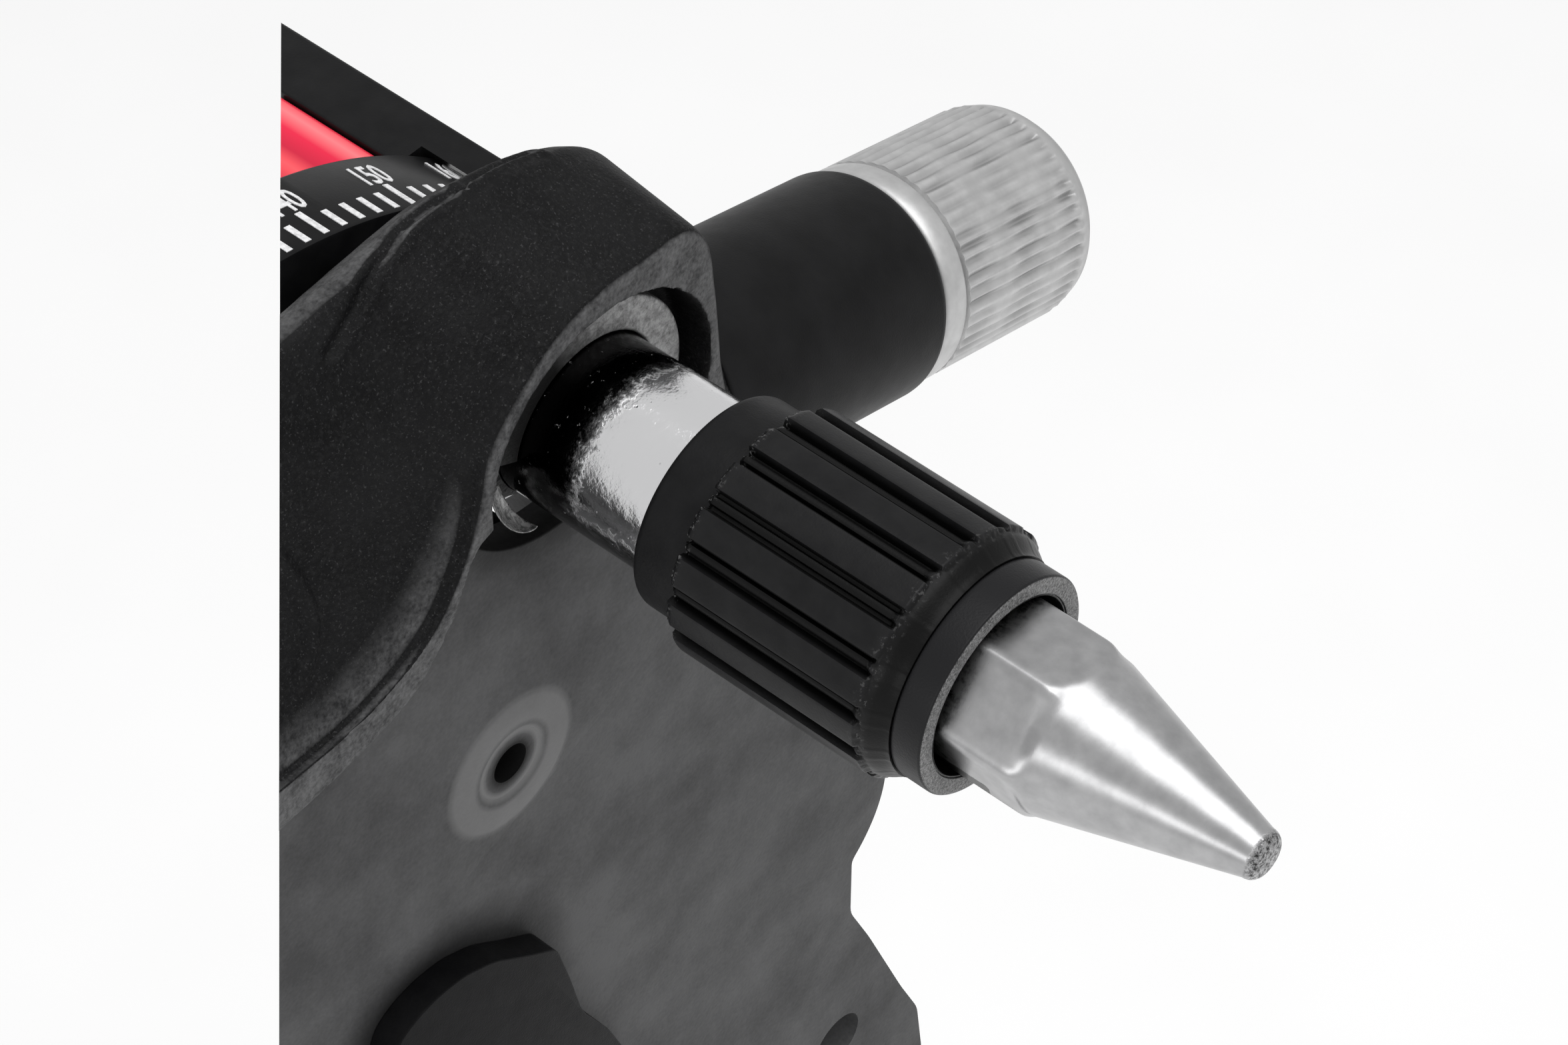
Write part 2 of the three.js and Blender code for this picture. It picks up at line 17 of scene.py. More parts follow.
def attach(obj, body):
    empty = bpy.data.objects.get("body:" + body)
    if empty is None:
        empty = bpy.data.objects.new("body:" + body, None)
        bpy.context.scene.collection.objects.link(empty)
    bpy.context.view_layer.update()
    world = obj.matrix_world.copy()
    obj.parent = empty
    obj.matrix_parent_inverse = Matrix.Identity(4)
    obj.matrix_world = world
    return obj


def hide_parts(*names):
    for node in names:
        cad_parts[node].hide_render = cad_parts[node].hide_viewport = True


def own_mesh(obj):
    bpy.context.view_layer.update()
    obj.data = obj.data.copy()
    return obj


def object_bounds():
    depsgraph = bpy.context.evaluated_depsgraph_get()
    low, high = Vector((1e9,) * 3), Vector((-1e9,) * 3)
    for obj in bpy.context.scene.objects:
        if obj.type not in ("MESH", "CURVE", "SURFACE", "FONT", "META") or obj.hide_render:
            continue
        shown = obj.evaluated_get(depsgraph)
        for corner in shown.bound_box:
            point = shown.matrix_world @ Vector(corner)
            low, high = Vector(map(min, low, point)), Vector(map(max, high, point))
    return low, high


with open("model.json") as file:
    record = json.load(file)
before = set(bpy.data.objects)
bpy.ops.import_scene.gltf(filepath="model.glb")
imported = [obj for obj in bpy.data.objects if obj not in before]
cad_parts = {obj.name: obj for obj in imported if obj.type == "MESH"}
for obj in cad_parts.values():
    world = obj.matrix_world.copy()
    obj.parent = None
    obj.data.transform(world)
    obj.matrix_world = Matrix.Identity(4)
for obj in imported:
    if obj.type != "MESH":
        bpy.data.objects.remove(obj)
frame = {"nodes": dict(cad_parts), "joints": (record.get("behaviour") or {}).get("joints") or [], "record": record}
cad_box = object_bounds()

MM = 0.001
record = frame["record"]
joints = {j["name"]: j for j in frame["joints"]}
body_of = {n: b for b, nodes in record["behaviour"]["bodies"].items() for n in nodes}
TAU = 2 * math.pi


# ---- the two frames ----
def frame_along(origin, axis, side):
    """A matrix from millimetres, with X along axis, to the row frame in metres."""
    x = Vector(axis).normalized()
    y = (Vector(side) - x * Vector(side).dot(x)).normalized()
    turn = Matrix((x, y, x.cross(y))).transposed().to_4x4()
    return Matrix.Translation(Vector(origin)) @ turn @ Matrix.Scale(MM, 4)


PUNCH = frame_along(joints["sleeve_turn"]["pos_m"], (1, 0, 0), (0, 1, 0))
CLAMP = frame_along(joints["knob_turn"]["pos_m"], joints["knob_turn"]["axis"], (-1, 0, 0))
root = next(m for m in record["mounts"] if m["name"] == "root_face")
ROOT_AT = Vector(root["pos_m"])
ROOT_OUT = Vector(root["axis"]).normalized()


def span(node, place=PUNCH):
    """Lowest and highest corner of a CAD node in a frame's own millimetres."""
    inverse = place.inverted()
    points = np.array([inverse @ v.co for v in frame["nodes"][node].data.vertices])
    return points.min(0), points.max(0)


def radius_of(node, place=PUNCH):
    """The largest distance of a CAD node from the frame's X axis."""
    inverse = place.inverted()
    points = np.array([inverse @ v.co for v in frame["nodes"][node].data.vertices])
    return float(np.hypot(points[:, 1], points[:, 2]).max())


# ---- mesh helpers ----
def linked(name, data):
    """A new object in the scene."""
    obj = bpy.data.objects.new(name, data)
    bpy.context.scene.collection.objects.link(obj)
    return obj


def sharpen(bm, degrees=38):
    """Smooth shading, with a hard edge where two faces meet at more than this angle."""
    for f in bm.faces:
        f.smooth = True
    limit = math.radians(degrees)
    for e in bm.edges:
        e.smooth = len(e.link_faces) == 2 and e.calc_face_angle(0) < limit


def object_from(bm, name, sharp=38):
    bmesh.ops.recalc_face_normals(bm, faces=bm.faces)
    sharpen(bm, sharp)
    mesh = bpy.data.meshes.new(name)
    bm.to_mesh(mesh)
    bm.free()
    return linked(name, mesh)


def stand_for(obj, node, material):
    """obj takes a CAD node's place, body and a material."""
    obj.data.materials.clear()
    obj.data.materials.append(material)
    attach(obj, body_of[node])
    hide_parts(node)
    return obj


def rows_to_bmesh(rows, place, closed=False):
    """A closed skin over rows of points, each row one loop. closed joins the last row to the first."""
    rows = np.asarray(rows, float)
    count, around, _ = rows.shape
    matrix = np.array(place)
    points = rows.reshape(-1, 3) @ matrix[:3, :3].T + matrix[:3, 3]
    bm = bmesh.new()
    verts = [bm.verts.new(p) for p in points]
    for r in range(count if closed else count - 1):
        low = r * around
        high = ((r + 1) % count) * around
        for i in range(around):
            j = (i + 1) % around
            bm.faces.new((verts[low + i], verts[low + j], verts[high + j], verts[high + i]))
    if not closed:
        bm.faces.new(verts[:around])
        bm.faces.new(verts[-around:])
    bmesh.ops.remove_doubles(bm, verts=bm.verts, dist=1e-7)
    return bm


def loop_at(x, r, angles):
    """A ring of points at x, about the frame's X axis."""
    return np.stack([np.full(len(angles), x), r * np.cos(angles), r * np.sin(angles)], 1)


def ring_profile(low, high, inner, outer):
    """The outline of a plain turned ring between two corners of a CAD node. An inner of 0 makes it solid."""
    return [(low[0], inner), (low[0], outer), (high[0], outer), (high[0], inner)]


def round_turned(profile, place, segments=160, closed=False, wobble=None):
    """A body turned about the frame's X axis. wobble(x, angles) may change the radius."""
    angles = np.linspace(0, TAU, segments, endpoint=False)
    rows = []
    for x, r in profile:
        radii = np.full(segments, max(r, 1e-5))
        if wobble is not None:
            radii = radii + wobble(x, angles)
        rows.append(loop_at(x, radii, angles))
    return rows_to_bmesh(rows, place, closed)


def turned_piece(node, name, profile, material, place=PUNCH, closed=True, sharp=40, segments=96, wobble=None):
    """A turned body in a CAD node's stead."""
    bm = round_turned(profile, place, segments, closed, wobble)
    return stand_for(object_from(bm, name, sharp), node, material)


def filleted(points, radius, steps=4, closed=True):
    """Each corner of an outline cut by a round of about this radius. A corner on the axis stays."""
    out = []
    n = len(points)
    for i, here in enumerate(points):
        if not closed and i in (0, n - 1):
            out.append(tuple(here))
            continue
        p = Vector(here)
        a = Vector(points[i - 1])
        b = Vector(points[(i + 1) % n])
        size = radius[i] if isinstance(radius, (list, tuple)) else radius
        cut = min(size, 0.45 * (a - p).length, 0.45 * (b - p).length)
        start = p + (a - p).normalized() * cut
        end = p + (b - p).normalized() * cut
        for k in range(steps + 1):
            t = k / steps
            out.append(tuple(start.lerp(p, t).lerp(p.lerp(end, t), t)))
    return out


def drawn(outline, x0, x1, bevel, place=PUNCH, segments=3):
    """A flat outline in Y and Z, drawn along X, with its edges rounded."""
    bm = bmesh.new()
    near = [bm.verts.new(place @ Vector((x0, y, z))) for y, z in outline]
    far = [bm.verts.new(place @ Vector((x1, y, z))) for y, z in outline]
    bm.faces.new(near)
    bm.faces.new(list(reversed(far)))
    n = len(outline)
    for i in range(n):
        j = (i + 1) % n
        bm.faces.new((near[i], far[i], far[j], near[j]))
    bmesh.ops.recalc_face_normals(bm, faces=bm.faces)
    if bevel:
        edges = [e for e in bm.edges if e.calc_face_angle(0) > math.radians(50)]
        bmesh.ops.bevel(
            bm, geom=edges, offset=bevel * MM, segments=segments, profile=0.5, affect="EDGES",
            clamp_overlap=True,
        )
    return bm


def oblong(y0, z0, y1, z1):
    return [(y0, z0), (y1, z0), (y1, z1), (y0, z1)]


def block_tool(x0, x1, outline):
    """A sharp-edged block, for cutting or joining."""
    return object_from(drawn(outline, x0, x1, 0), "tool")


def cut_at_root(bm):
    """Takes away what is beyond the root face, and closes the cut."""
    geometry = bm.verts[:] + bm.edges[:] + bm.faces[:]
    cut = bmesh.ops.bisect_plane(
        bm, geom=geometry, dist=1e-7, plane_co=ROOT_AT, plane_no=ROOT_OUT, clear_outer=True
    )
    edges = [e for e in cut["geom_cut"] if isinstance(e, bmesh.types.BMEdge)]
    bmesh.ops.edgeloop_fill(bm, edges=edges)
    return bm


def baked(obj):
    """The object's mesh with its modifiers applied."""
    graph = bpy.context.evaluated_depsgraph_get()
    mesh = bpy.data.meshes.new_from_object(obj.evaluated_get(graph))
    obj.modifiers.clear()
    obj.data = mesh
    return obj


def combine(obj, others, operation="DIFFERENCE"):
    """Cuts the others out of the object, or joins them to it, and takes them away."""
    for other in others:
        modifier = obj.modifiers.new("combine", "BOOLEAN")
        modifier.operation = operation
        modifier.solver = "EXACT"
        modifier.object = other
    bpy.context.view_layer.update()
    baked(obj)
    for other in others:
        bpy.data.objects.remove(other)
    return obj


def edited(obj, *steps):
    """Runs steps on the object's mesh, each of which takes a bmesh."""
    bm = bmesh.new()
    bm.from_mesh(obj.data)
    for step in steps:
        step(bm)
    bm.to_mesh(obj.data)
    bm.free()
    return obj


def resharpen(obj, degrees=38):
    return edited(obj, lambda bm: sharpen(bm, degrees))


def arc(cy, cz, r, start, end, steps):
    angles = [math.radians(start + (end - start) * i / steps) for i in range(steps + 1)]
    return [(cy + r * math.cos(a), cz + r * math.sin(a)) for a in angles]


def spline(points, count):
    """Points along a closed centripetal Catmull-Rom curve."""
    p = [Vector(q) for q in points]
    n = len(p)
    out = []
    for i in range(n):
        p0, p1, p2, p3 = p[i - 1], p[i], p[(i + 1) % n], p[(i + 2) % n]
        t1 = math.sqrt(max((p1 - p0).length, 1e-6))
        t2 = t1 + math.sqrt(max((p2 - p1).length, 1e-6))
        t3 = t2 + math.sqrt(max((p3 - p2).length, 1e-6))
        for k in range(count):
            t = t1 + (t2 - t1) * k / count
            a1 = p0 * ((t1 - t) / t1) + p1 * (t / t1)
            a2 = p1 * ((t2 - t) / (t2 - t1)) + p2 * ((t - t1) / (t2 - t1))
            a3 = p2 * ((t3 - t) / (t3 - t2)) + p3 * ((t - t2) / (t3 - t2))
            b1 = a1 * ((t2 - t) / t2) + a2 * (t / t2)
            b2 = a2 * ((t3 - t) / (t3 - t1)) + a3 * ((t - t1) / (t3 - t1))
            out.append(b1 * ((t2 - t) / (t2 - t1)) + b2 * ((t - t1) / (t2 - t1)))
    return out


def smoothstep(edge0, edge1, x):
    t = np.clip((x - edge0) / (edge1 - edge0), 0, 1)
    return t * t * (3 - 2 * t)


# ---- materials ----
def rgba(color):
    """A colour socket's value, from a colour or from the tone of a grey."""
    return (*color, 1) if isinstance(color, tuple) else (color, color, color, 1)


class Paint:
    """One procedural material, built up from a few node steps. Texture space is the row frame in metres."""

    def __init__(self, name, color, roughness, metallic=0.0, specular=0.5, coat=0.0):
        self.material = bpy.data.materials.new(name)
        self.material.use_nodes = True
        self.tree = self.material.node_tree
        self.shader = self.tree.nodes["Principled BSDF"]
        plain = {
            "Base Color": rgba(color), "Roughness": roughness, "Metallic": metallic,
            "Specular IOR Level": specular, "Coat Weight": coat,
        }
        for socket, value in plain.items():
            self.shader.inputs[socket].default_value = value
        self.place = self.node("TexCoord").outputs["Object"]
        self.bumped = None

    def link(self, a, b):
        self.tree.links.new(a, b)

    def node(self, kind, **values):
        """A new shader node, with plain values for its sockets. An underscore in a name is a space."""
        node = self.tree.nodes.new("ShaderNode" + kind)
        for name, value in values.items():
            node.inputs[name.replace("_", " ")].default_value = value
        return node

    def stretched(self, scale):
        node = self.node("Mapping", Scale=scale)
        self.link(self.place, node.inputs["Vector"])
        return node.outputs["Vector"]

    def noise(self, size_mm, detail=4, roughness=0.55, stretch=None, distortion=0.0):
        scale = 1 / (size_mm * MM)
        node = self.node("TexNoise", Scale=scale, Detail=detail, Roughness=roughness, Distortion=distortion)
        self.link(self.stretched(stretch) if stretch else self.place, node.inputs["Vector"])
        return node.outputs["Fac"]

    def cells(self, size_mm):
        node = self.node("TexVoronoi", Scale=1 / (size_mm * MM))
        self.link(self.place, node.inputs["Vector"])
        return node.outputs["Distance"]

    def ramp(self, value, *stops):
        node = self.node("ValToRGB")
        elements = node.color_ramp.elements
        while len(elements) < len(stops):
            elements.new(0.5)
        for element, (at, color) in zip(elements, stops):
            element.position = at
            element.color = rgba(color)
        self.link(value, node.inputs["Fac"])
        return node.outputs["Color"]

    def math(self, operation, a, b=None):
        node = self.node("Math")
        node.operation = operation
        for socket, value in zip(node.inputs, (a, b)):
            if value is None:
                continue
            if isinstance(value, (int, float)):
                socket.default_value = value
            else:
                self.link(value, socket)
        return node.outputs["Value"]

    def times(self, a, b):
        return self.math("MULTIPLY", a, b)

    def plus(self, a, b):
        return self.math("ADD", a, b)

    def most(self, a, b):
        return self.math("MAXIMUM", a, b)

    def mix(self, factor, a, b):
        """a where factor is 0, b where it is 1. factor is a socket, a and b may be plain tones."""
        node = self.node("Mix")
        node.data_type = "RGBA"
        self.link(factor, node.inputs["Factor"])
        for name, value in (("A", a), ("B", b)):
            if isinstance(value, (tuple, float)):
                node.inputs[name].default_value = rgba(value)
            else:
                self.link(value, node.inputs[name])
        return node.outputs["Result"]

    def vector(self, operation, a, b=None):
        """The node of one step of vector maths. b is a plain vector."""
        node = self.node("VectorMath")
        node.operation = operation
        self.link(a, node.inputs[0])
        if b is not None:
            node.inputs[1].default_value = b
        return node

    def ranged(self, value, low, high):
        node = self.node("MapRange", From_Min=low, From_Max=high)
        self.link(value, node.inputs["Value"])
        return node.outputs["Result"]

    def facing(self, axis, low, high):
        """0 to 1 as the surface's own normal turns towards a row-frame axis."""
        normal = self.node("TexCoord").outputs["Normal"]
        return self.ranged(self.vector("DOT_PRODUCT", normal, axis).outputs["Value"], low, high)

    def along(self, low, high, axis=(1, 0, 0)):
        """0 to 1 from low to high millimetres along an axis from the punch's origin."""
        offset = self.vector("SUBTRACT", self.place, PUNCH.translation).outputs["Vector"]
        reach = self.vector("DOT_PRODUCT", offset, axis).outputs["Value"]
        return self.ranged(reach, low * MM, high * MM)

    def from_axis(self, low, high, origin=PUNCH.translation, axis=(1, 0, 0)):
        """0 to 1 from low to high millimetres away from an axis through origin."""
        offset = self.vector("SUBTRACT", self.place, origin).outputs["Vector"]
        across = self.vector("CROSS_PRODUCT", offset, axis).outputs["Vector"]
        return self.ranged(self.vector("LENGTH", across).outputs["Value"], low * MM, high * MM)

    def wash(self, noise, *stops):
        """Tones spread by noise. noise holds its size in millimetres, detail and roughness."""
        return self.ramp(self.noise(*noise), *stops)

    def patches(self, low, high, *noise):
        """Ragged patches: 0 where the noise is under low, 1 where it is over high."""
        return self.wash(noise, (low, 0.0), (high, 1.0))

    def color(self, value):
        self.link(value, self.shader.inputs["Base Color"])

    def gloss(self, value, low, high):
        """Roughness from low to high as value goes from 0 to 1."""
        node = self.node("MapRange", To_Min=low, To_Max=high)
        self.link(value, node.inputs["Value"])
        self.link(node.outputs["Result"], self.shader.inputs["Roughness"])

    def bump(self, value, depth_mm, strength=1.0):
        node = self.node("Bump", Distance=depth_mm * MM, Strength=strength)
        self.link(value, node.inputs["Height"])
        if self.bumped:
            self.link(self.bumped, node.inputs["Normal"])
        self.bumped = node.outputs["Normal"]
        self.link(self.bumped, self.shader.inputs["Normal"])


def black_casting_paint():
    """Thick black paint over a rough casting. The machined rim's front face is grey, partly thin rubbed paint and
    partly a painted highlight, and the top bevel has a painted highlight of the same grey.
    """
    p = Paint("black_casting_paint", (0.006, 0.006, 0.0065), 0.5, specular=0.11)
    grain = p.noise(0.34, 4, 0.6)
    speck = p.patches(0.60, 0.70, 0.16, 3)
    wash = p.wash((6.0, 3), (0.35, (0.003, 0.003, 0.0033)), (0.7, (0.008, 0.008, 0.0085)))
    leather = p.mix(p.ramp(grain, (0.50, 0.0), (0.70, 1.0)), wash, (0.012, 0.012, 0.0125))
    painted = p.mix(p.times(speck, 0.3), leather, (0.10, 0.10, 0.102))
    mottle = p.plus(p.times(p.noise(1.3, 4), 0.5), p.times(p.noise(0.3, 4), 0.5))
    rim = p.ramp(mottle, (0.36, (0.03, 0.03, 0.031)), (0.64, (0.13, 0.13, 0.132)))
    near_rim = p.along(RIM_X - 2, RIM_X - 1)
    # The rim's front face: partly thin rubbed paint, partly a painted highlight on the face towards the point.
    facing_front = p.times(p.facing((1, 0, 0), 0.72, 0.95), near_rim)
    # Painted highlight on the top bevel, which faces the overhead light.
    bevel = p.times(p.facing((-0.35, -0.3, 0.887), 0.84, 0.96), 0.75)
    p.color(p.mix(p.most(facing_front, bevel), painted, rim))
    p.gloss(p.noise(2.5, 4), 0.42, 0.62)
    p.bump(grain, 0.11)
    p.bump(p.noise(3.0, 3), 0.2, 0.6)
    return p.material


def satin_black_paint():
    p = Paint("satin_black_paint", (0.007, 0.007, 0.0075), 0.45, specular=0.1)
    p.color(p.wash((3.5, 3), (0.3, (0.005, 0.005, 0.0053)), (0.75, (0.010, 0.010, 0.0105))))
    p.gloss(p.noise(1.2, 4), 0.38, 0.5)
    p.bump(p.noise(0.14, 3), 0.012)
    return p.material


def moulded_black(name="moulded_black", rough=(0.3, 0.42), grain=0.012, specular=0.13):
    p = Paint(name, (0.008, 0.008, 0.009), 0.38, specular=specular)
    scuff = p.patches(0.66, 0.78, 0.12, 5, 0.7)
    wash = p.wash((2.0, 4), (0.3, (0.005, 0.005, 0.0055)), (0.8, (0.010, 0.010, 0.0105)))
    p.color(p.mix(p.times(scuff, 0.3), wash, 0.08))
    p.gloss(p.noise(0.9, 5), *rough)
    p.bump(p.noise(0.18, 4), grain)
    return p.material


def grip_black():
    """Moulded black, with painted shade down in the grooves, and pale nicks where the lands end."""
    p = Paint("grip_black", (0.010, 0.010, 0.011), 0.36, specular=0.14)
    start = SLEEVE_LOW[0]
    rear = p.along(start + 0.6, start + 0.05)
    before = p.along(LANDS_FRONT - 0.7, LANDS_FRONT - 0.1)
    front = p.times(before, p.along(LANDS_FRONT + 0.6, LANDS_FRONT + 0.1))
    edge = p.plus(rear, p.times(front, 0.3))
    nick = p.patches(0.56, 0.66, 0.3, 4, 0.7)
    wash = p.wash((2.0, 4), (0.3, (0.007, 0.007, 0.0075)), (0.8, (0.014, 0.014, 0.0145)))
    # Painted shade: the groove floors go near black, the lands keep the wash.
    land = p.from_axis(SLEEVE_R - 0.5, SLEEVE_R - 0.1)
    body = p.mix(land, 0.002, wash)
    p.color(p.mix(p.times(p.times(edge, nick), 0.8), body, 0.22))
    p.gloss(p.noise(0.9, 5), 0.28, 0.42)
    p.bump(p.noise(0.18, 4), 0.012)
    return p.material


def nose_black():
    """Moulded black, with a grey speckle on its front face, partly rubbed plastic and partly a painted highlight.
    """
    p = Paint("nose_black", (0.010, 0.010, 0.011), 0.36, specular=0.16)
    facing_front = p.facing((1, 0, 0), 0.75, 0.95)
    # Grey speckle on the front face: partly rubbed plastic, partly a painted highlight.
    speckle = p.wash((0.12, 4, 0.7), (0.38, 0.04), (0.66, 0.30))
    p.color(p.mix(facing_front, (0.010, 0.010, 0.011), speckle))
    p.gloss(p.noise(0.9, 5), 0.3, 0.45)
    p.bump(p.noise(0.15, 4), 0.02)
    return p.material


def grey_cast_paint():
    """Grey paint, mottled, with a painted highlight ring round the boss hole, painted shade in and round the hole,
    and painted shadows under the punch and by the cap.
    """
    p = Paint("grey_cast_paint", (0.06, 0.06, 0.062), 0.62, specular=0.15)
    broad = p.noise(9.0, 4, 0.6)
    fine = p.noise(0.35, 3, 0.6)
    mixed = p.plus(p.times(broad, 0.75), p.times(fine, 0.25))
    grey = p.ramp(mixed, (0.36, (0.046, 0.046, 0.047)), (0.64, (0.095, 0.095, 0.097)))
    at = PUNCH @ Vector((0, *BOSS_AT))
    # Painted highlight: a pale band on the boss's rim and a pale line inside it.
    ring = p.times(p.from_axis(3.1, 3.6, at), p.from_axis(BOSS_R + 0.2, BOSS_R - 0.5, at))
    inner = p.times(p.from_axis(2.2, 2.6, at), p.from_axis(3.2, 2.8, at))
    pale = p.plus(p.times(ring, 0.5), p.times(inner, 0.65))
    lit = p.mix(pale, grey, 0.22)
    # Painted shade in and round the boss hole.
    hole = p.from_axis(2.3, 1.6, at)
    # Painted shadows under the punch and along the cap's upper edge, kept to the front face.
    under = p.from_axis(12.5, 10.0)
    cap_shadow = p.from_axis(14.0, 10.4, PUNCH @ Vector((0, -15.5, -52)))
    shade = p.most(p.times(under, 0.7), p.times(cap_shadow, 0.75))
    shade = p.times(shade, p.along(-19.0, -17.8))
    p.color(p.mix(p.most(hole, shade), lit, 0.006))
    p.gloss(p.noise(2.0, 3), 0.55, 0.7)
    p.bump(p.noise(0.3, 3), 0.03)
    p.bump(p.noise(4.0, 3), 0.1, 0.5)
    return p.material


def chrome_plate():
    """Bright plate, with black paint and dirt over its base, and painted shade along its underside, as the dark
    reflection of what lies below.
    """
    p = Paint("chrome_plate", (0.80, 0.80, 0.81), 0.1, metallic=1.0)
    spots = p.ramp(p.cells(0.9), (0.0, 1.0), (0.11, 0.0))
    patches = p.patches(0.52, 0.66, 1.6, 5, 0.6)
    pits = p.times(spots, patches)
    ragged = p.noise(0.7, 6, 0.7)
    base = p.along(-7.6, -14.0)
    # Painted shade: the underside is darkened as a dark reflection of what lies below.
    under = p.along(1.8, 6.8, UNDERSIDE)
    reach = p.plus(p.most(base, under), p.times(ragged, 0.5))
    # Black paint and dirt over the base, painted shade along the underside, both broken by the flecks below.
    paint_and_shade = p.ramp(reach, (0.66, 0.0), (0.74, 0.7), (0.84, 1.0))
    flecks = p.patches(0.66, 0.70, 0.45, 5, 0.7)
    cover = p.times(paint_and_shade, p.math("SUBTRACT", 1.0, flecks))
    p.color(p.mix(p.most(pits, cover), (0.80, 0.80, 0.81), 0.03))
    p.gloss(p.noise(0.8, 5), 0.06, 0.2)
    p.bump(p.noise(0.7, 5, 0.6), 0.035)
    p.bump(pits, -0.03)
    p.bump(cover, 0.02)
    return p.material


def turned_steel(name="turned_steel", axis_stretch=(14, 1, 1), rough=(0.2, 0.34)):
    p = Paint(name, (0.62, 0.62, 0.63), 0.26, metallic=1.0)
    lines = p.noise(0.5, 4, 0.6, stretch=axis_stretch)
    p.color(p.wash((1.4, 4), (0.3, (0.52, 0.52, 0.53)), (0.7, (0.68, 0.68, 0.69))))
    p.gloss(lines, *rough)
    p.bump(lines, 0.004)
    p.bump(p.noise(0.12, 3), 0.003)
    return p.material


def point_steel():
    """Turned steel, with a pitted end, dirt and painted shade where the hexagon leaves the nose ring, and darker
    on its lower side next to the ring.
    """
    p = Paint("point_steel", (0.62, 0.62, 0.63), 0.26, metallic=1.0)
    lines = p.noise(0.45, 4, 0.6, stretch=(10, 1, 1))
    tip = POINT_HIGH[0]
    end = p.along(tip - 0.75, tip - 0.35)
    pits = p.patches(0.45, 0.6, 0.22, 4, 0.7)
    nose = NOSE_HIGH[0]
    # Dirt and painted shade round the foot of the hexagon, in the corner against the nose ring.
    collar = p.along(nose + 0.8, nose - 0.3)
    dirt_and_shade = p.times(collar, p.patches(0.45, 0.62, 0.6, 5, 0.7))
    dark = p.most(p.times(end, pits), dirt_and_shade)
    # Darker on the lower side, close to the nose ring.
    low_corner = p.times(p.along(4.75, 5.2, UNDERSIDE), p.along(nose + 3.1, nose + 2.5))
    ragged = p.plus(low_corner, p.times(p.noise(0.8, 5, 0.7), 0.6))
    dark = p.most(dark, p.ramp(ragged, (0.95, 0.0), (1.08, 1.0)))
    clean = p.wash((1.4, 4), (0.3, (0.36, 0.36, 0.365)), (0.7, (0.46, 0.46, 0.465)))
    p.color(p.mix(dark, clean, 0.04))
    p.gloss(lines, 0.24, 0.36)
    p.bump(lines, 0.004)
    p.bump(p.times(end, pits), -0.06)
    return p.material


def knob_aluminium():
    """Dull aluminium, with painted shade down in the knurl."""
    p = Paint("knob_aluminium", 0.62, 0.42, metallic=0.85)
    r = radius_of("knurled_knob", CLAMP)
    # Painted shade: the knurl's grooves are darker than its lands.
    land = p.from_axis(r - 0.55, r - 0.1, CLAMP.translation, tuple(joints["knob_turn"]["axis"]))
    bright = p.wash((1.5, 3), (0.3, 0.50), (0.75, 0.62))
    p.color(p.mix(land, 0.34, bright))
    p.gloss(p.noise(0.6, 4), 0.36, 0.5)
    p.bump(p.noise(0.3, 3), 0.008)
    return p.material


def rough_cast_disc():
    p = Paint("rough_cast_disc", 0.4, 0.5, metallic=0.6)
    light = p.wash((0.55, 6, 0.75), (0.32, 0.10), (0.68, 0.50))
    # Painted shade: the disc goes near black towards -Y and down, where the hood shades the recess, and stays
    # light towards +Y and up.
    side = p.along(0.5, 3.8, (0, 0.9, 0.44))
    p.color(p.mix(side, 0.02, light))
    p.bump(p.noise(0.4, 5, 0.7), 0.08)
    return p.material


def red_gloss():
    """Glossy red with two paler streaks along its length, as under a strip light."""
    p = Paint("red_gloss", (0.75, 0.008, 0.035), 0.2, specular=0.4, coat=0.3)
    across = p.along(-3.5, 3.9, (0, 1, 0))
    p.color(p.ramp(across, (0.25, (0.62, 0.0, 0.03)), (0.45, (0.95, 0.09, 0.11)), (0.58, (0.60, 0.0, 0.035)),
                   (0.74, (0.80, 0.003, 0.05)), (0.88, (1.0, 0.20, 0.22)), (1.0, (0.85, 0.01, 0.05))))
    p.bump(p.noise(2.0, 2), 0.006)
    return p.material


def curled_leaf_steel():
    """Bright sheet with dark flowing bands, as a polished curl mirrors its surroundings."""
    p = Paint("curled_leaf_steel", 0.4, 0.35, metallic=0.4)
    p.color(p.ramp(p.noise(1.3, 2, 0.4, stretch=(3, 1, 1), distortion=1.6),
                   (0.40, 0.10), (0.47, 0.42), (0.53, 0.12),
                   (0.60, 0.50)))
    p.gloss(p.noise(0.6, 3), 0.22, 0.36)
    return p.material


def turned_brass():
    p = Paint("turned_brass", (0.62, 0.44, 0.18), 0.3, metallic=1.0)
    p.color(p.wash((1.2, 4), (0.3, (0.50, 0.35, 0.14)), (0.7, (0.68, 0.49, 0.22))))
    p.gloss(p.noise(0.5, 4, stretch=(12, 1, 1)), 0.22, 0.4)
    p.bump(p.noise(0.4, 3, stretch=(12, 1, 1)), 0.004)
    return p.material


def white_print():
    p = Paint("white_print", (0.75, 0.75, 0.76), 0.6)
    p.color(p.wash((0.25, 3), (0.3, (0.55, 0.55, 0.56)), (0.6, (0.82, 0.82, 0.83))))
    return p.material


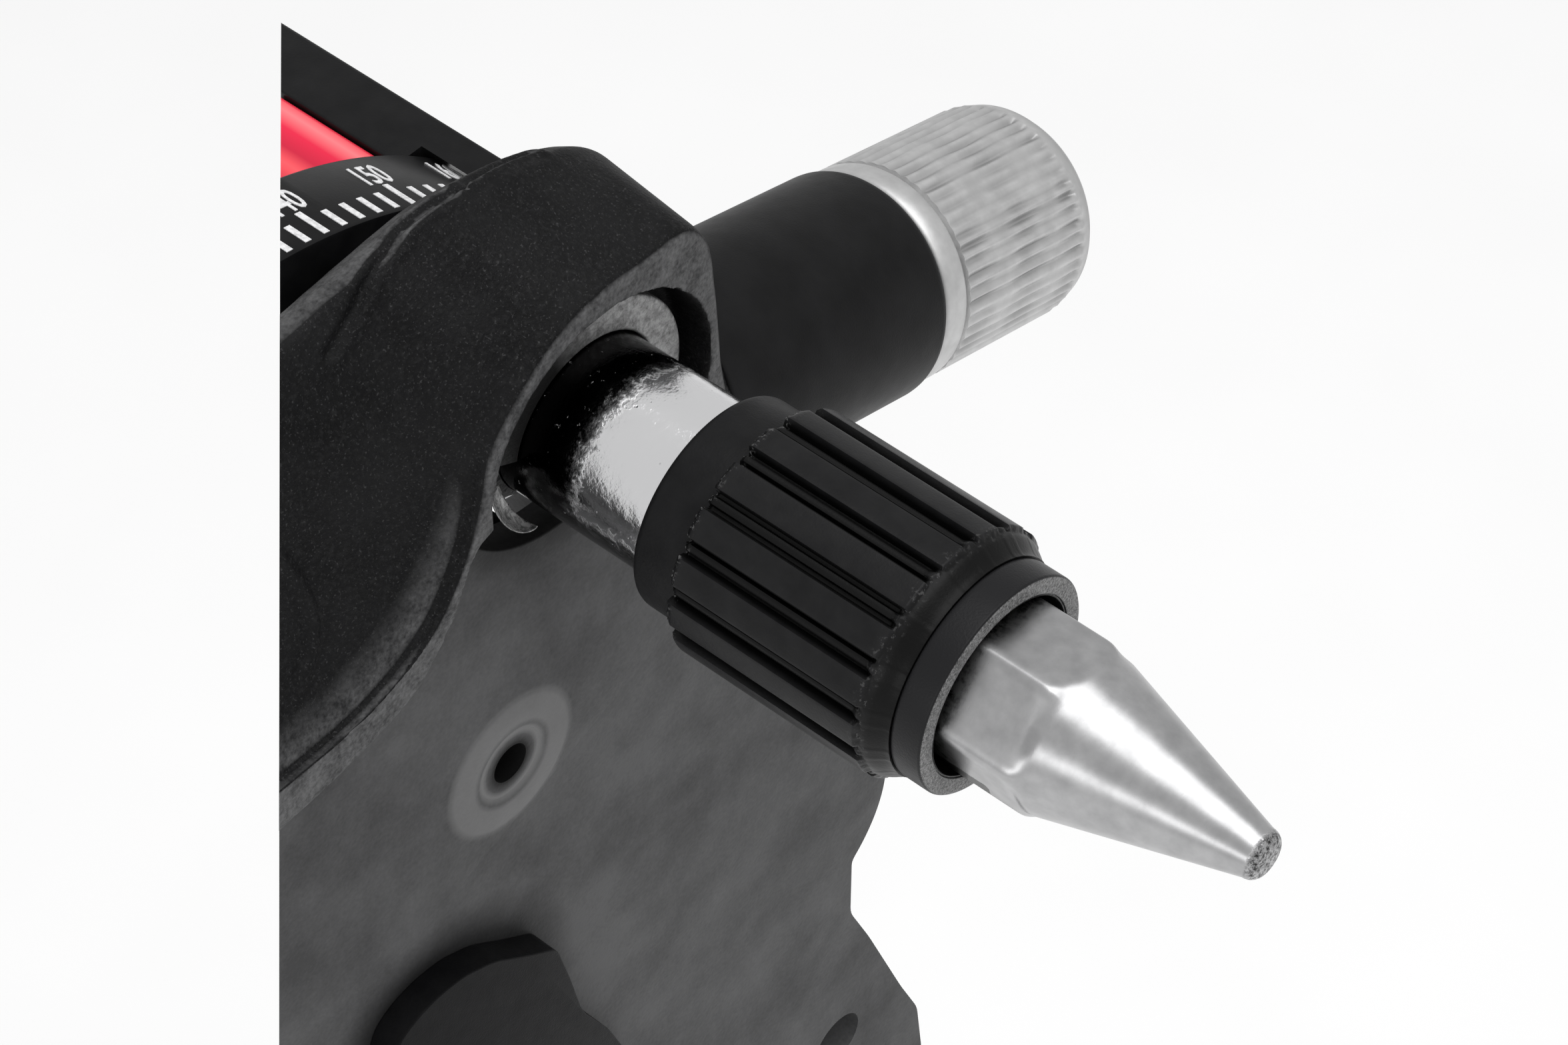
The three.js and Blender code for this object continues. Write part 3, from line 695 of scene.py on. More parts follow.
# ---- the punch's sizes in millimetres, most of them from the frame ----
SLEEVE_LOW, SLEEVE_HIGH = span("grip_sleeve")
SLEEVE_R = radius_of("grip_sleeve")
COLLAR_LOW, COLLAR_HIGH = span("rear_collar")
COLLAR_R = radius_of("rear_collar")
NOSE_LOW, NOSE_HIGH = span("nose_ring")
NOSE_R = radius_of("nose_ring")
BARREL_LOW, BARREL_HIGH = span("barrel")
BARREL_R = radius_of("barrel")
POINT_LOW, POINT_HIGH = span("punch_point")
ARM_LOW, ARM_HIGH = span("arm_casting")
RIM_X = ARM_HIGH[0]
# Segments round a turned piece that shows.
FINE = 192
NOSE_BORE = 6.0
CORE_R = 6.9
LANDS = 16
LANDS_FRONT = 13.55
GROOVE = 0.85
BARREL_BORE = 4.75
CLAMP_BORE = 2.3
CLAMP_SCREW_R = 2
# Down and away from the camera, square to the punch's axis, in the row frame.
UNDERSIDE = (0, -0.637, -0.771)


# ---- sleeve ----
def rib_height(share):
    """0 on the groove's floor to 1 on a land, over one pitch, with a low bead along the groove."""
    away = np.minimum(share, 1 - share)
    land = 1 - smoothstep(0.282, 0.325, away)
    bead = 0.52 * smoothstep(0.385, 0.44, away)
    return np.maximum(land, bead)


def grip_sleeve():
    rng = random.Random(4)
    around = LANDS * 28
    angles = np.linspace(0, TAU, around, endpoint=False)
    share = (angles * LANDS / TAU) % 1.0
    height = rib_height(share)
    land_index = (angles * LANDS / TAU + 0.5).astype(int) % LANDS
    ends = np.array([rng.uniform(-0.12, 0.12) for _ in range(LANDS)])[land_index]
    ragged = np.array([rng.uniform(-1, 1) for _ in range(around)])
    ragged = (ragged + np.roll(ragged, 1) + np.roll(ragged, 2)) / 3
    shoulder_front = SLEEVE_HIGH[0]
    shoulder_r = SLEEVE_R - 0.32
    x_rear = SLEEVE_LOW[0]
    stations = list(x_rear + np.array([0, 0.04, 0.1, 0.18, 0.3, 0.5, 0.9]))
    stations += list(np.linspace(x_rear + 1.5, LANDS_FRONT - 1.4, 14))
    stations += list(np.linspace(LANDS_FRONT - 1.2, LANDS_FRONT + 0.4, 17))
    stations += list(np.linspace(LANDS_FRONT + 0.5, shoulder_front, 9))
    rows = []
    for x in stations:
        rear = 0.22 * (1 - smoothstep(x_rear, x_rear + 0.3, x)) * (1 + 0.6 * ragged)
        floor = SLEEVE_R - GROOVE + (shoulder_r - SLEEVE_R + GROOVE) * smoothstep(
            LANDS_FRONT - 0.75, LANDS_FRONT - 0.05, x
        )
        drop = smoothstep(LANDS_FRONT - 0.12, LANDS_FRONT + 0.16, x + ends + 0.05 * ragged)
        land = SLEEVE_R - 0.02 + (shoulder_r - SLEEVE_R) * drop
        r = floor + (land - floor) * height
        fall = smoothstep(LANDS_FRONT + 0.1, shoulder_front, x)
        r = r + (NOSE_R + 0.1 - shoulder_r) * fall - rear
        rows.append(loop_at(x, r, angles))
    bore = CORE_R + 0.05
    for x in (shoulder_front, x_rear):
        rows.append(loop_at(x, bore, angles))
    bm = rows_to_bmesh(rows, PUNCH, closed=True)
    stand_for(object_from(bm, "ribbed_sleeve", 50), "grip_sleeve", grip_black())


def rear_collar():
    inner = BARREL_R + 0.1
    profile = filleted(ring_profile(COLLAR_LOW, COLLAR_HIGH, inner, COLLAR_R), [0.15, 0.95, 0.12, 0.1], 6)
    paint = moulded_black("collar_black", (0.36, 0.5), 0.02)
    turned_piece("rear_collar", "collar", profile, paint, sharp=50, segments=FINE)


def nose_ring():
    back, face = NOSE_LOW[0], NOSE_HIGH[0]
    profile = [
        (back, NOSE_BORE), (back, NOSE_R - 0.05), (back + 0.3, NOSE_R), (face - 0.12, NOSE_R),
        (face, NOSE_R - 0.12), (face, NOSE_BORE + 0.16), (face - 0.12, NOSE_BORE + 0.13),
        (face - 0.12, NOSE_BORE + 0.06), (face - 0.05, NOSE_BORE + 0.04), (face - 0.1, NOSE_BORE),
    ]
    turned_piece("nose_ring", "nose_ring_front", filleted(profile, 0.06, 3), nose_black(), segments=FINE)


# ---- barrel and point ----
def barrel():
    inner = BARREL_BORE
    x0, x1 = BARREL_LOW[0], BARREL_HIGH[0]
    clip0, clip1 = x0 + 0.35, x0 + 1.05
    clip_r = BARREL_R - 0.5
    profile = filleted([
        (x0, inner), (x0, BARREL_R), (clip0, BARREL_R), (clip0, clip_r), (clip1, clip_r), (clip1, BARREL_R),
        (x1, BARREL_R), (x1, inner),
    ], 0.15, 3)
    stations = []
    for a, b in zip(profile, profile[1:] + profile[:1]):
        stations.append(a)
        if abs(b[0] - a[0]) > 3:
            stations += [(a[0] + (b[0] - a[0]) * k / 24, a[1]) for k in range(1, 24)]

    def wobble(x, angles):
        return 0.012 * np.sin(3 * angles + 0.7 * x) * np.sin(1.3 * x) - 0.012

    turned_piece("barrel", "shaft", stations, chrome_plate(), segments=FINE, wobble=wobble)


HEX_TURN = 50.4
CONE_START = 22.4
POINT_R = 1.65


def soft_min(a, b, k):
    """The lower of two values, with the change from one to the other rounded over k."""
    h = np.clip(0.5 + 0.5 * (b - a) / k, 0, 1)
    return b + (a - b) * h - k * h * (1 - h)


def punch_point():
    """A hexagon lofted into a cone, whose flats fade out, and a small rounded blunt end."""
    around = 360
    angles = np.linspace(0, TAU, around, endpoint=False)
    corner = radius_of("punch_point")
    sixth = math.pi / 3
    from_flat = (angles - math.radians(HEX_TURN)) % sixth - sixth / 2
    flat = corner * math.cos(sixth / 2) / np.cos(from_flat)
    flat = soft_min(flat, np.full(around, corner - 0.12), 0.22)
    mean = corner - 0.42
    x0, tip = POINT_LOW[0], POINT_HIGH[0] - 0.01
    end_x = tip - 0.9
    slope = (1 - POINT_R / mean) / (end_x - CONE_START)
    stations = [x0, x0 + 0.05, x0 + 0.25, x0 + 0.7]
    stations += list(np.linspace(x0 + 1.2, 21.4, 8))
    stations += list(np.linspace(21.6, 27.0, 50))
    stations += list(np.linspace(27.4, end_x, 20))
    rows = []
    for x in stations:
        scale = float(soft_min(1.0, 1 - slope * (x - CONE_START), 0.03))
        fade = float(smoothstep(CONE_START - 0.15, CONE_START + 1.1, x))
        r = scale * (flat * (1 - fade) + mean * fade)
        if x < x0 + 0.2:
            r = np.minimum(r, 5.0)
        rows.append(loop_at(x, r, angles))
    for k in range(1, 10):
        turn = math.radians(10 * k)
        x = end_x + 0.85 * math.sin(turn)
        r = POINT_R * (0.55 + 0.45 * math.cos(turn))
        rows.append(loop_at(x, r, angles))
    rows.append(loop_at(tip, 0.35, angles))
    bm = rows_to_bmesh(rows, PUNCH)
    stand_for(object_from(bm, "point", 50), "punch_point", point_steel())


# ---- arm casting ----
# Each pair is the hood's lower edge and the arm's upper edge, both as (Y, Z).
ARM_OUTLINE = [
    ((11.3, -9.0), (11.8, -9.0)), ((11.0, -2.0), (11.6, -2.0)), ((10.6, 4.2), (11.3, 5.0)),
    ((9.9, 8.8), (10.3, 9.8)), ((8.0, 11.2), (8.0, 12.6)), ((4.0, 11.7), (4.0, 14.6)),
    ((0.0, 11.8), (0.0, 15.8)), ((-3.5, 11.0), (-4.3, 16.6)), ((-7.0, 8.7), (-8.5, 16.4)),
    ((-9.9, 5.5), (-12.0, 16.0)), ((-10.8, 2.2), (-16.0, 15.4)), ((-12.8, -2.2), (-21.0, 14.6)),
    ((-15.7, -5.6), (-26.0, 13.6)), ((-21.0, -7.8), (-30.0, 12.5)), ((-34.0, -8.8), (-36.0, 11.0)),
    ((-34.0, -11.0), (-36.0, -10.4)), ((-18.0, -9.8), (-18.0, -10.3)), ((-14.3, -6.4), (-14.3, -6.6)),
    ((-11.3, -1.5), (-11.3, -4.0)), ((-6.0, -2.0), (-6.0, -7.4)), ((0.0, -6.0), (0.0, -9.4)),
    ((8.6, -9.4), (8.6, -9.4)),
]
ARM_MIDDLE = Vector((-6.0, 2.0))
RECESS_R = 9.7
RECESS_FLOOR = -16.8
DISC_R = 8.55
ARM_VOXEL = 0.25


def arm_ring(x, share, inset):
    """The arm's section at x: share goes from the hood's lower edges to the arm's upper edges."""
    points = []
    for low, high in ARM_OUTLINE:
        p = Vector(low).lerp(Vector(high), share)
        away = p - ARM_MIDDLE
        points.append(ARM_MIDDLE + away * (1 - inset / away.length))
    return [(x, p.x, p.y) for p in spline(points, 8)]


def rod_object(x0, x1, r, place=PUNCH, segments=96):
    bm = round_turned([(x0, 0), (x0, r), (x1, r), (x1, 0)], place, segments)
    return object_from(bm, "tool")


# Marks on the casting's skin. Each has a depth, a half width and points along its line, in millimetres.
# A raised line has a negative depth.
PARTING = [
    (-22.65, -1.9, 15.88), (-22.74, -2.66, 15.99), (-22.83, -4.91, 16.17), (-22.82, -6.76, 16.07),
    (-22.26, -8.35, 15.98), (-22.1, -9.36, 15.75), (-21.8, -10.65, 15.23), (-21.46, -12.01, 14.47),
    (-21.21, -13.48, 13.69), (-21.04, -14.77, 12.98),
]
CREASE = [
    (-23.2, 4.6, 13.9), (-23.21, 2.6, 14.52), (-23.26, 1.07, 14.93), (-23.04, -0.67, 15.45),
    (-22.79, -1.76, 15.8),
]
SECOND_CREASE = [(x + 0.95, y, z) for x, y, z in CREASE]
DIMPLE_EDGE = [
    (-18.56, -22.19, 3.61), (-18.16, -21.9, 2.55), (-17.75, -21.66, 1.47), (-17.38, -21.54, 0.42),
    (-17.1, -21.58, -0.41), (-16.74, -21.79, -1.51), (-16.5, -22.1, -2.26), (-16.24, -22.86, -3.2),
    (-15.97, -23.83, -4.06),
]
ARM_MARKS = ((0.3, 0.34, PARTING), (0.34, 0.3, CREASE), (0.2, 0.3, SECOND_CREASE), (-0.3, 0.32, DIMPLE_EDGE))


def press_marks(obj):
    """Moves the arm's skin in along each mark, with a low lip on both sides."""
    mesh = obj.data
    matrix = np.array(PUNCH.inverted())
    here = np.array([v.co for v in mesh.vertices])
    normals = np.array([v.normal for v in mesh.vertices])
    at = here @ matrix[:3, :3].T + matrix[:3, 3]
    push = np.zeros(len(at))
    for depth, half, line in ARM_MARKS:
        points = np.array(line)
        gap = np.full(len(at), 1e3)
        for a, b in zip(points, points[1:]):
            t = np.clip(((at - a) @ (b - a)) / ((b - a) @ (b - a)), 0, 1)
            gap = np.minimum(gap, np.linalg.norm(at - a - t[:, None] * (b - a), axis=1))
        push += depth * (np.exp(-(gap / half) ** 2) - 0.4 * np.exp(-((gap - 2.1 * half) / half) ** 2))
    mesh.vertices.foreach_set("co", (here - normals * push[:, None] * MM).astype(np.float32).ravel())
    mesh.update()


def arm_casting():
    back = ARM_LOW[0]
    flank_back, flank_front = back + 2.9, RIM_X - 0.9
    sections = [(back, 1, 2.4), (back + 0.25, 1, 1.7), (back + 1.4, 1.0, 0.75), (back + 2.6, 0.96, 0.05)]
    for t in (k / 15 for k in range(16)):
        sections.append((flank_back + (flank_front - flank_back) * t, 0.94 * (1 - t), 0))
    sections += [(RIM_X - 0.35, 0, 0.08), (RIM_X - 0.08, 0, 0.3), (RIM_X, 0, 0.6)]
    arm = object_from(rows_to_bmesh([arm_ring(*section) for section in sections], PUNCH), "arm")
    tube_start = span("clamp_tube", CLAMP)[0][0]
    tube_r = radius_of("clamp_tube", CLAMP)
    socket = rod_object(8, tube_start + 0.12, tube_r - 0.1, CLAMP)
    slab = block_tool(-60, 0, oblong(-40, -40, 7, 20))
    back_slab = block_tool(-60, back, oblong(-40, -40, 40, 20))
    combine(socket, [slab, back_slab])
    combine(arm, [socket], "UNION")
    combine(arm, [rod_object(RECESS_FLOOR, 0, RECESS_R)])
    remesh = arm.modifiers.new("remesh", "REMESH")
    remesh.mode = "VOXEL"
    remesh.voxel_size = ARM_VOXEL * MM
    soften = arm.modifiers.new("soften", "SMOOTH")
    soften.factor = 0.5
    soften.iterations = 5
    bpy.context.view_layer.update()
    baked(arm)
    press_marks(arm)
    edited(arm, cut_at_root)
    combine(arm, [rod_object(-60, 0, BARREL_R + 0.05), rod_object(-14, 20, CLAMP_BORE, CLAMP, 48)])
    resharpen(arm, 50)
    stand_for(arm, "arm_casting", black_casting_paint())


def recess_disc():
    low, high = span("recess_disc")
    profile = filleted(ring_profile(low, high, BARREL_R + 0.1, DISC_R), 0.2, 3)
    disc = object_from(round_turned(profile, PUNCH, 160, closed=True), "cast_disc", 40)
    below = block_tool(-20, -10, [(-20, 8.5), (20, -12.5), (20, -30), (-20, -30)])
    combine(disc, [below])
    resharpen(disc, 40)
    stand_for(disc, "recess_disc", rough_cast_disc())


def spring_clip():
    """A thin curled leaf beside the barrel, tapering to a point."""
    start = span("spring_clip")[0][0]
    rows = []
    for t in np.linspace(0, 1, 41):
        a = math.radians(180 + 48 * t)
        radius = 8.15 - 0.75 * t
        half = 0.85 * math.sin(math.pi * min(1.0, 0.25 + 0.75 * t)) ** 0.8 + 0.04
        tilt = math.radians(25 + 45 * t)
        x = start + 0.75 + 0.3 * t
        out = Vector((0, math.cos(a), math.sin(a)))
        wide = out * math.cos(tilt) + Vector((1, 0, 0)) * math.sin(tilt)
        thick = Vector((1, 0, 0)) * math.cos(tilt) - out * math.sin(tilt)
        centre = Vector((x, 0, 0)) + out * radius
        rows.append([
            centre + wide * half * math.cos(b) + thick * (0.12 * math.sin(b) + 0.25 * half * math.cos(b) ** 2)
            for b in np.linspace(0, TAU, 20, endpoint=False)
        ])
    clip = object_from(rows_to_bmesh(rows, PUNCH), "curled_clip", 60)
    stand_for(clip, "spring_clip", curled_leaf_steel())


# ---- base cover ----
COVER_OUTLINE = [
    (-45, -12.4), (-18.4, -11.7), (-14.3, -8.2), (-11.6, -6.4),
    *arc(0, 0, 10.3, 215, 278, 10),
    (6.3, -11.4), (6.6, -20), (10, -23.5), (14, -26.5), (30, -50), (32.4, -60),
    *arc(22.4, -65, 10, 8, -52, 10),
    (28.5, -79.3), (30.8, -84.6), (35, -95.4), (37.2, -100.5), (38, -107), (37, -112), (-45, -26.4),
]
COVER_POCKET = [
    (-60, 5), (4.2, 5), (4.2, -20.8), (12.2, -28.6), (27.7, -51), (30, -61), (29.4, -67),
    (26.4, -76), (26, -79.6), (32.6, -96), (34.8, -101), (35.2, -107), (-60, -8),
]
BOSS_AT = (-6.5, -28.6)
BOSS_R = 5.8
WALL = 2.6


def base_cover():
    back, front = span("base_cover")[0][0], -17.0
    tray = object_from(drawn(filleted(COVER_OUTLINE, 0.8, 3), back, front, 0.45), "tray")
    pocket = block_tool(back - 1, front - WALL, COVER_POCKET)
    at = PUNCH @ Matrix.Translation((0, *BOSS_AT))
    ring = [
        (-19.8, 0), (-19.8, BOSS_R - 0.8), (front - 0.1, BOSS_R + 0.1), (front + 0.1, BOSS_R - 0.5),
        (front + 0.24, BOSS_R - 1.6), (front + 0.2, 3.0), (front - 0.5, 2.2), (front - 1.1, 1.5),
        (front - 1.2, 0),
    ]
    boss = object_from(round_turned(filleted(ring, 0.3, 3, closed=False), at, 96), "tool")
    combine(tray, [pocket])
    combine(tray, [boss], "UNION")
    hole = rod_object(-30, 0, 1.5, at, 48)
    slot = rod_object(-30, 0, 2.6, PUNCH @ Matrix.Translation((0, 27, -94.5)), 48)
    cotter = rod_object(-14, 20, CLAMP_BORE, CLAMP, 48)
    combine(tray, [hole, slot, cotter])
    edited(tray, cut_at_root, lambda bm: sharpen(bm, 32))
    stand_for(tray, "base_cover", grey_cast_paint())


def centre_cap():
    low, high = span("centre_cap")
    outline = [
        (-21.5, -45.7), (-20.5, -43.2), (-18.8, -42.2), (-16.7, -41.8), (-14.2, -42.0), (-11.4, -43.2),
        (-8.0, -45.9), (-5.4, -47.8), (-4.3, -52.2), (-3.3, -57.1), (-0.8, -61.8), (2.1, -69.4),
    ]
    bm = drawn(filleted(outline, 0.9, 4), low[0], high[0], 0.5)
    paint = moulded_black("cap_black", (0.35, 0.5), 0.02, 0.05)
    stand_for(object_from(bm, "cap_over_cover", 40), "centre_cap", paint)


# ---- clamp ----
def clamp_tube():
    x0, x1 = (corner[0] for corner in span("clamp_tube", CLAMP))
    r = radius_of("clamp_tube", CLAMP)
    counterbore = 6.6
    profile = [
        (x0, CLAMP_BORE), (x0, r), (x1, r), (x1, counterbore), (x0 + 3, counterbore), (x0 + 3, CLAMP_BORE)
    ]
    profile = filleted(profile, [0.1, 0.3, 0.8, 0.25, 0.2, 0.1], 6)
    turned_piece("clamp_tube", "side_tube", profile, satin_black_paint(), CLAMP, sharp=50, segments=FINE)


def knurled_knob():
    """A plain flange, a dark undercut, a coarse uneven knurl and a chamfered end."""
    rng = random.Random(9)
    knurls = 50
    around = knurls * 12
    angles = np.linspace(0, TAU, around, endpoint=False)
    low, high = span("knurled_knob", CLAMP)
    tube_end = span("clamp_tube", CLAMP)[1][0]
    knob_r = radius_of("knurled_knob", CLAMP) - 0.06
    x_end = high[0]
    depth = np.array([rng.uniform(0.45, 1.15) for _ in range(knurls)])
    lean = np.array([rng.uniform(-0.12, 0.12) for _ in range(knurls)])
    pitch = (angles * knurls / TAU) % 1.0
    index = (angles * knurls / TAU).astype(int) % knurls
    wave = 0.5 + 0.5 * np.cos(TAU * (pitch + lean[index] * np.sin(math.pi * pitch)))
    cut = (1 - np.abs(2 * pitch - 1)) ** 1.3
    groove = 0.42 * depth[index] * (0.55 * (1 - wave) + 0.45 * cut)
    knurl_from, knurl_to = tube_end + 2.75, x_end - 2.3
    profile = [
        (low[0], 0.0), (low[0], 6.4), (tube_end + 0.12, 6.4), (tube_end + 0.12, knob_r - 0.35),
        (tube_end + 0.45, knob_r), (tube_end + 2.2, knob_r), (tube_end + 2.4, knob_r - 0.12),
        (tube_end + 2.5, knob_r - 0.5), (tube_end + 2.62, knob_r - 0.45),
    ]
    profile += [(knurl_from + (knurl_to - knurl_from) * k / 40, knob_r) for k in range(41)]
    profile += [
        (x_end - 2.0, knob_r - 0.1), (x_end - 1.2, knob_r - 0.3), (x_end - 0.55, knob_r - 0.75),
        (x_end - 0.15, knob_r - 1.4), (x_end, knob_r - 2.2), (x_end, 2.6),
        (x_end - 0.3, 2.3), (x_end - 0.3, 0.0),
    ]

    def wobble(x, _):
        begun = smoothstep(knurl_from - 0.2, knurl_from + 0.25, x)
        ended = smoothstep(knurl_to - 0.3, knurl_to + 0.2, x)
        drift = 0.75 + 0.25 * math.sin(1.1 * x)
        return -groove * (begun * (1 - ended)) * drift

    turned_piece("knurled_knob", "knob", profile, knob_aluminium(), CLAMP, False, 60, around, wobble)


# ---- index ring, carrier and housing ----
RING_CENTRE = (-17.7, -21.8)
RING_R = 36.5
RING_BORE = 32.0
# Degrees from one tick to the next, and of the tick under the middle numeral.
RING_STEP = 2.42
RING_ZERO = 62.3
# Millimetres that the marks start under the ring's surface and stand above it.
MARK_FOOT = -0.1
MARK_TOP = 0.05
NUMERAL_HEIGHT = 3.0
NUMERAL_WIDTH = 0.62


def text_mesh(words, height):
    """A closed mesh of a line of text, as (points, faces), centred on its own width."""
    curve = bpy.data.curves.new("numeral", "FONT")
    curve.body = words
    curve.size = height
    curve.align_x = "CENTER"
    curve.resolution_u = 3
    curve.extrude = 0.08
    curve.offset = 0.035
    holder = linked("numeral", curve)
    bpy.context.view_layer.update()
    mesh = bpy.data.meshes.new_from_object(holder.evaluated_get(bpy.context.evaluated_depsgraph_get()))
    points = [v.co.copy() for v in mesh.vertices]
    faces = [tuple(p.vertices) for p in mesh.polygons]
    bpy.data.objects.remove(holder)
    return points, faces


def index_ring():
    low, high = span("index_ring")
    outer = arc(*RING_CENTRE, RING_R, 32, 140, 160)
    inner = arc(*RING_CENTRE, RING_BORE, 140, 32, 160)
    bm = cut_at_root(drawn(outer + inner, low[0], high[0], 0.25, segments=2))
    ring = object_from(bm, "graduated_ring", 30)

    def on_ring(x, degrees, out):
        a = math.radians(degrees)
        r = RING_R + out
        return PUNCH @ Vector((x, RING_CENTRE[0] + r * math.cos(a), RING_CENTRE[1] + r * math.sin(a)))

    marks = bmesh.new()

    def patch(x0, x1, d0, d1):
        corners = ((x0, d0), (x1, d0), (x1, d1), (x0, d1))
        v = [marks.verts.new(on_ring(x, d, out)) for out in (MARK_FOOT, MARK_TOP) for x, d in corners]
        for face in ((4, 5, 6, 7), (3, 2, 1, 0), (0, 1, 5, 4), (1, 2, 6, 5), (2, 3, 7, 6), (3, 0, 4, 7)):
            marks.faces.new([v[i] for i in face])

    for k in range(-30, 31):
        centre = RING_ZERO - RING_STEP * k
        if not 36 < centre < 138:
            continue
        long = 2.5 if k % 5 == 0 else 1.85
        half = math.degrees(0.24 / RING_R)
        patch(high[0] - 0.35 - long, high[0] - 0.35, centre - half, centre + half)
    for k, words in ((-5, "140"), (0, "150"), (5, "160")):
        points, faces = text_mesh(words, NUMERAL_HEIGHT)
        centre = RING_ZERO - RING_STEP * k
        verts = []
        for p in points:
            turn = math.degrees(NUMERAL_WIDTH * p.x / RING_R)
            verts.append(marks.verts.new(on_ring(high[0] - 3.1 - p.y, centre - turn, p.z - 0.03)))
        for face in faces:
            marks.faces.new([verts[i] for i in face])
    bmesh.ops.remove_doubles(marks, verts=marks.verts, dist=1e-7)
    cut_marks = marks.verts[:] + marks.edges[:] + marks.faces[:]
    bmesh.ops.bisect_plane(
        marks, geom=cut_marks, dist=1e-7, plane_co=ROOT_AT, plane_no=ROOT_OUT, clear_outer=True
    )
    print_obj = object_from(marks, "ring_print", 30)
    print_obj.data.materials.append(white_print())
    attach(print_obj, "head")
    stand_for(ring, "index_ring", moulded_black("ring_black", (0.25, 0.35), 0.006))


def ring_carrier():
    low, high = span("ring_carrier")
    outline = [*arc(*RING_CENTRE, RING_BORE - 0.15, 24, 110, 60), (-30, -4), (-20, -10.4)]
    carrier = object_from(drawn(outline, low[0], high[0], 0.3), "carrier")
    tube_r = radius_of("clamp_tube", CLAMP)
    combine(carrier, [
        rod_object(-40, 0, BARREL_R + 0.3),
        rod_object(-28, 0, 9.2),
        rod_object(4, 40, tube_r + 0.3, CLAMP),
    ])
    edited(carrier, cut_at_root, lambda bm: sharpen(bm, 35))
    stand_for(carrier, "ring_carrier", satin_black_paint())


def housing():
    front, side, top = span("upper_housing")[1]
    outline = [(-9, -8), (side, -8), (side, top), (4.0, top), (4.0, 3.6), (-9, 3.6)]
    bm = cut_at_root(drawn(filleted(outline, [0.5, 0.8, 0.35, 0.15, 0.1, 0.2], 4), -60, front, 0.25))
    shell = object_from(bm, "housing_shell", 35)
    at = PUNCH @ Matrix.Translation((0, *RING_CENTRE))
    combine(shell, [rod_object(span("index_ring")[0][0] - 0.3, 0, RING_R + 0.5, at, 256)])
    resharpen(shell, 35)
    stand_for(shell, "upper_housing", moulded_black("housing_black", (0.3, 0.42), 0.01))
    front = span("red_panel")[1][0]
    crown = [(3.9, 3.7), (3.9, 6.15), (3.4, 6.3), (1.5, 6.24), (-1.5, 5.9), (-8.8, 4.9), (-8.8, 3.7)]
    bm = cut_at_root(drawn(filleted(crown, 0.3, 4), -60, front, 0.2))
    stand_for(object_from(bm, "panel_red", 35), "red_panel", red_gloss())


# ---- small and inner pieces ----
def coil(node, name, radius, wire, turns, material):
    low, high = span(node)
    steps = int(turns * 40)
    sides = 12
    x0, x1 = low[0] + wire, high[0] - wire
    rows = []
    for i in range(steps + 1):
        t = i / steps
        a = TAU * turns * t
        centre = Vector((x0 + (x1 - x0) * t, radius * math.cos(a), radius * math.sin(a)))
        out = Vector((0, math.cos(a), math.sin(a)))
        rows.append([centre + (out * math.cos(b) + Vector((1, 0, 0)) * math.sin(b)) * wire
                     for b in np.linspace(0, TAU, sides, endpoint=False)])
    bm = rows_to_bmesh(rows, PUNCH)
    return stand_for(object_from(bm, name, 60), node, material)


def squeezed(obj):
    """Gives the spring its own copy of its mesh."""
    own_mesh(obj)


def ring_piece(node, name, inner, outer, material, place=PUNCH, fillet=0.08):
    """A plain ring between the ends of its CAD node, or a solid pin when inner is 0."""
    closed = inner > 0
    profile = filleted(ring_profile(*span(node, place), inner, outer), fillet, 3, closed)
    turned_piece(node, name, profile, material, place, closed)


def punch_inside(steel, spring, brass):
    low, high = span("adjuster_plug")
    profile = filleted(ring_profile(low, high, 0, 4.7), 0.2, 3, False)
    plug = object_from(round_turned(profile, PUNCH, 96), "slotted_plug", 40)
    slit = block_tool(low[0] - 1, low[0] + 1, oblong(-6, -0.5, 6, 0.5))
    resharpen(combine(plug, [slit]), 40)
    stand_for(plug, "adjuster_plug", brass)
    low, high = span("striker")
    outline = [(low[0], 0), (low[0], 4.55), (high[0] - 0.8, 4.55), (high[0], 3.6), (high[0], 0)]
    turned_piece("striker", "striker_weight", filleted(outline, 0.2, 3, False), steel, closed=False)
    ring_piece("front_bush", "pin_bush", 2.55, 4.7, brass)
    low, high = span("drive_pin")
    outline = [(low[0], 0), (low[0], 2.1), (low[0] + 0.4, 2.5), (high[0], 2.5), (high[0], 0)]
    turned_piece("drive_pin", "pin", filleted(outline, 0.08, 3, False), steel, closed=False)
    low, high = span("sleeve_core")
    step_x, step_r = 6.3, 6.2
    outline = [
        (low[0], BARREL_R + 0.1), (low[0], CORE_R), (high[0], CORE_R), (high[0], step_r), (step_x, step_r),
        (step_x, BARREL_R + 0.1),
    ]
    turned_piece("sleeve_core", "brass_liner", filleted(outline, 0.08, 3), brass)
    squeezed(coil("main_spring", "striker_spring", 3.3, 0.45, 7, spring))
    squeezed(coil("return_spring", "point_spring", 3.7, 0.3, 3, spring))


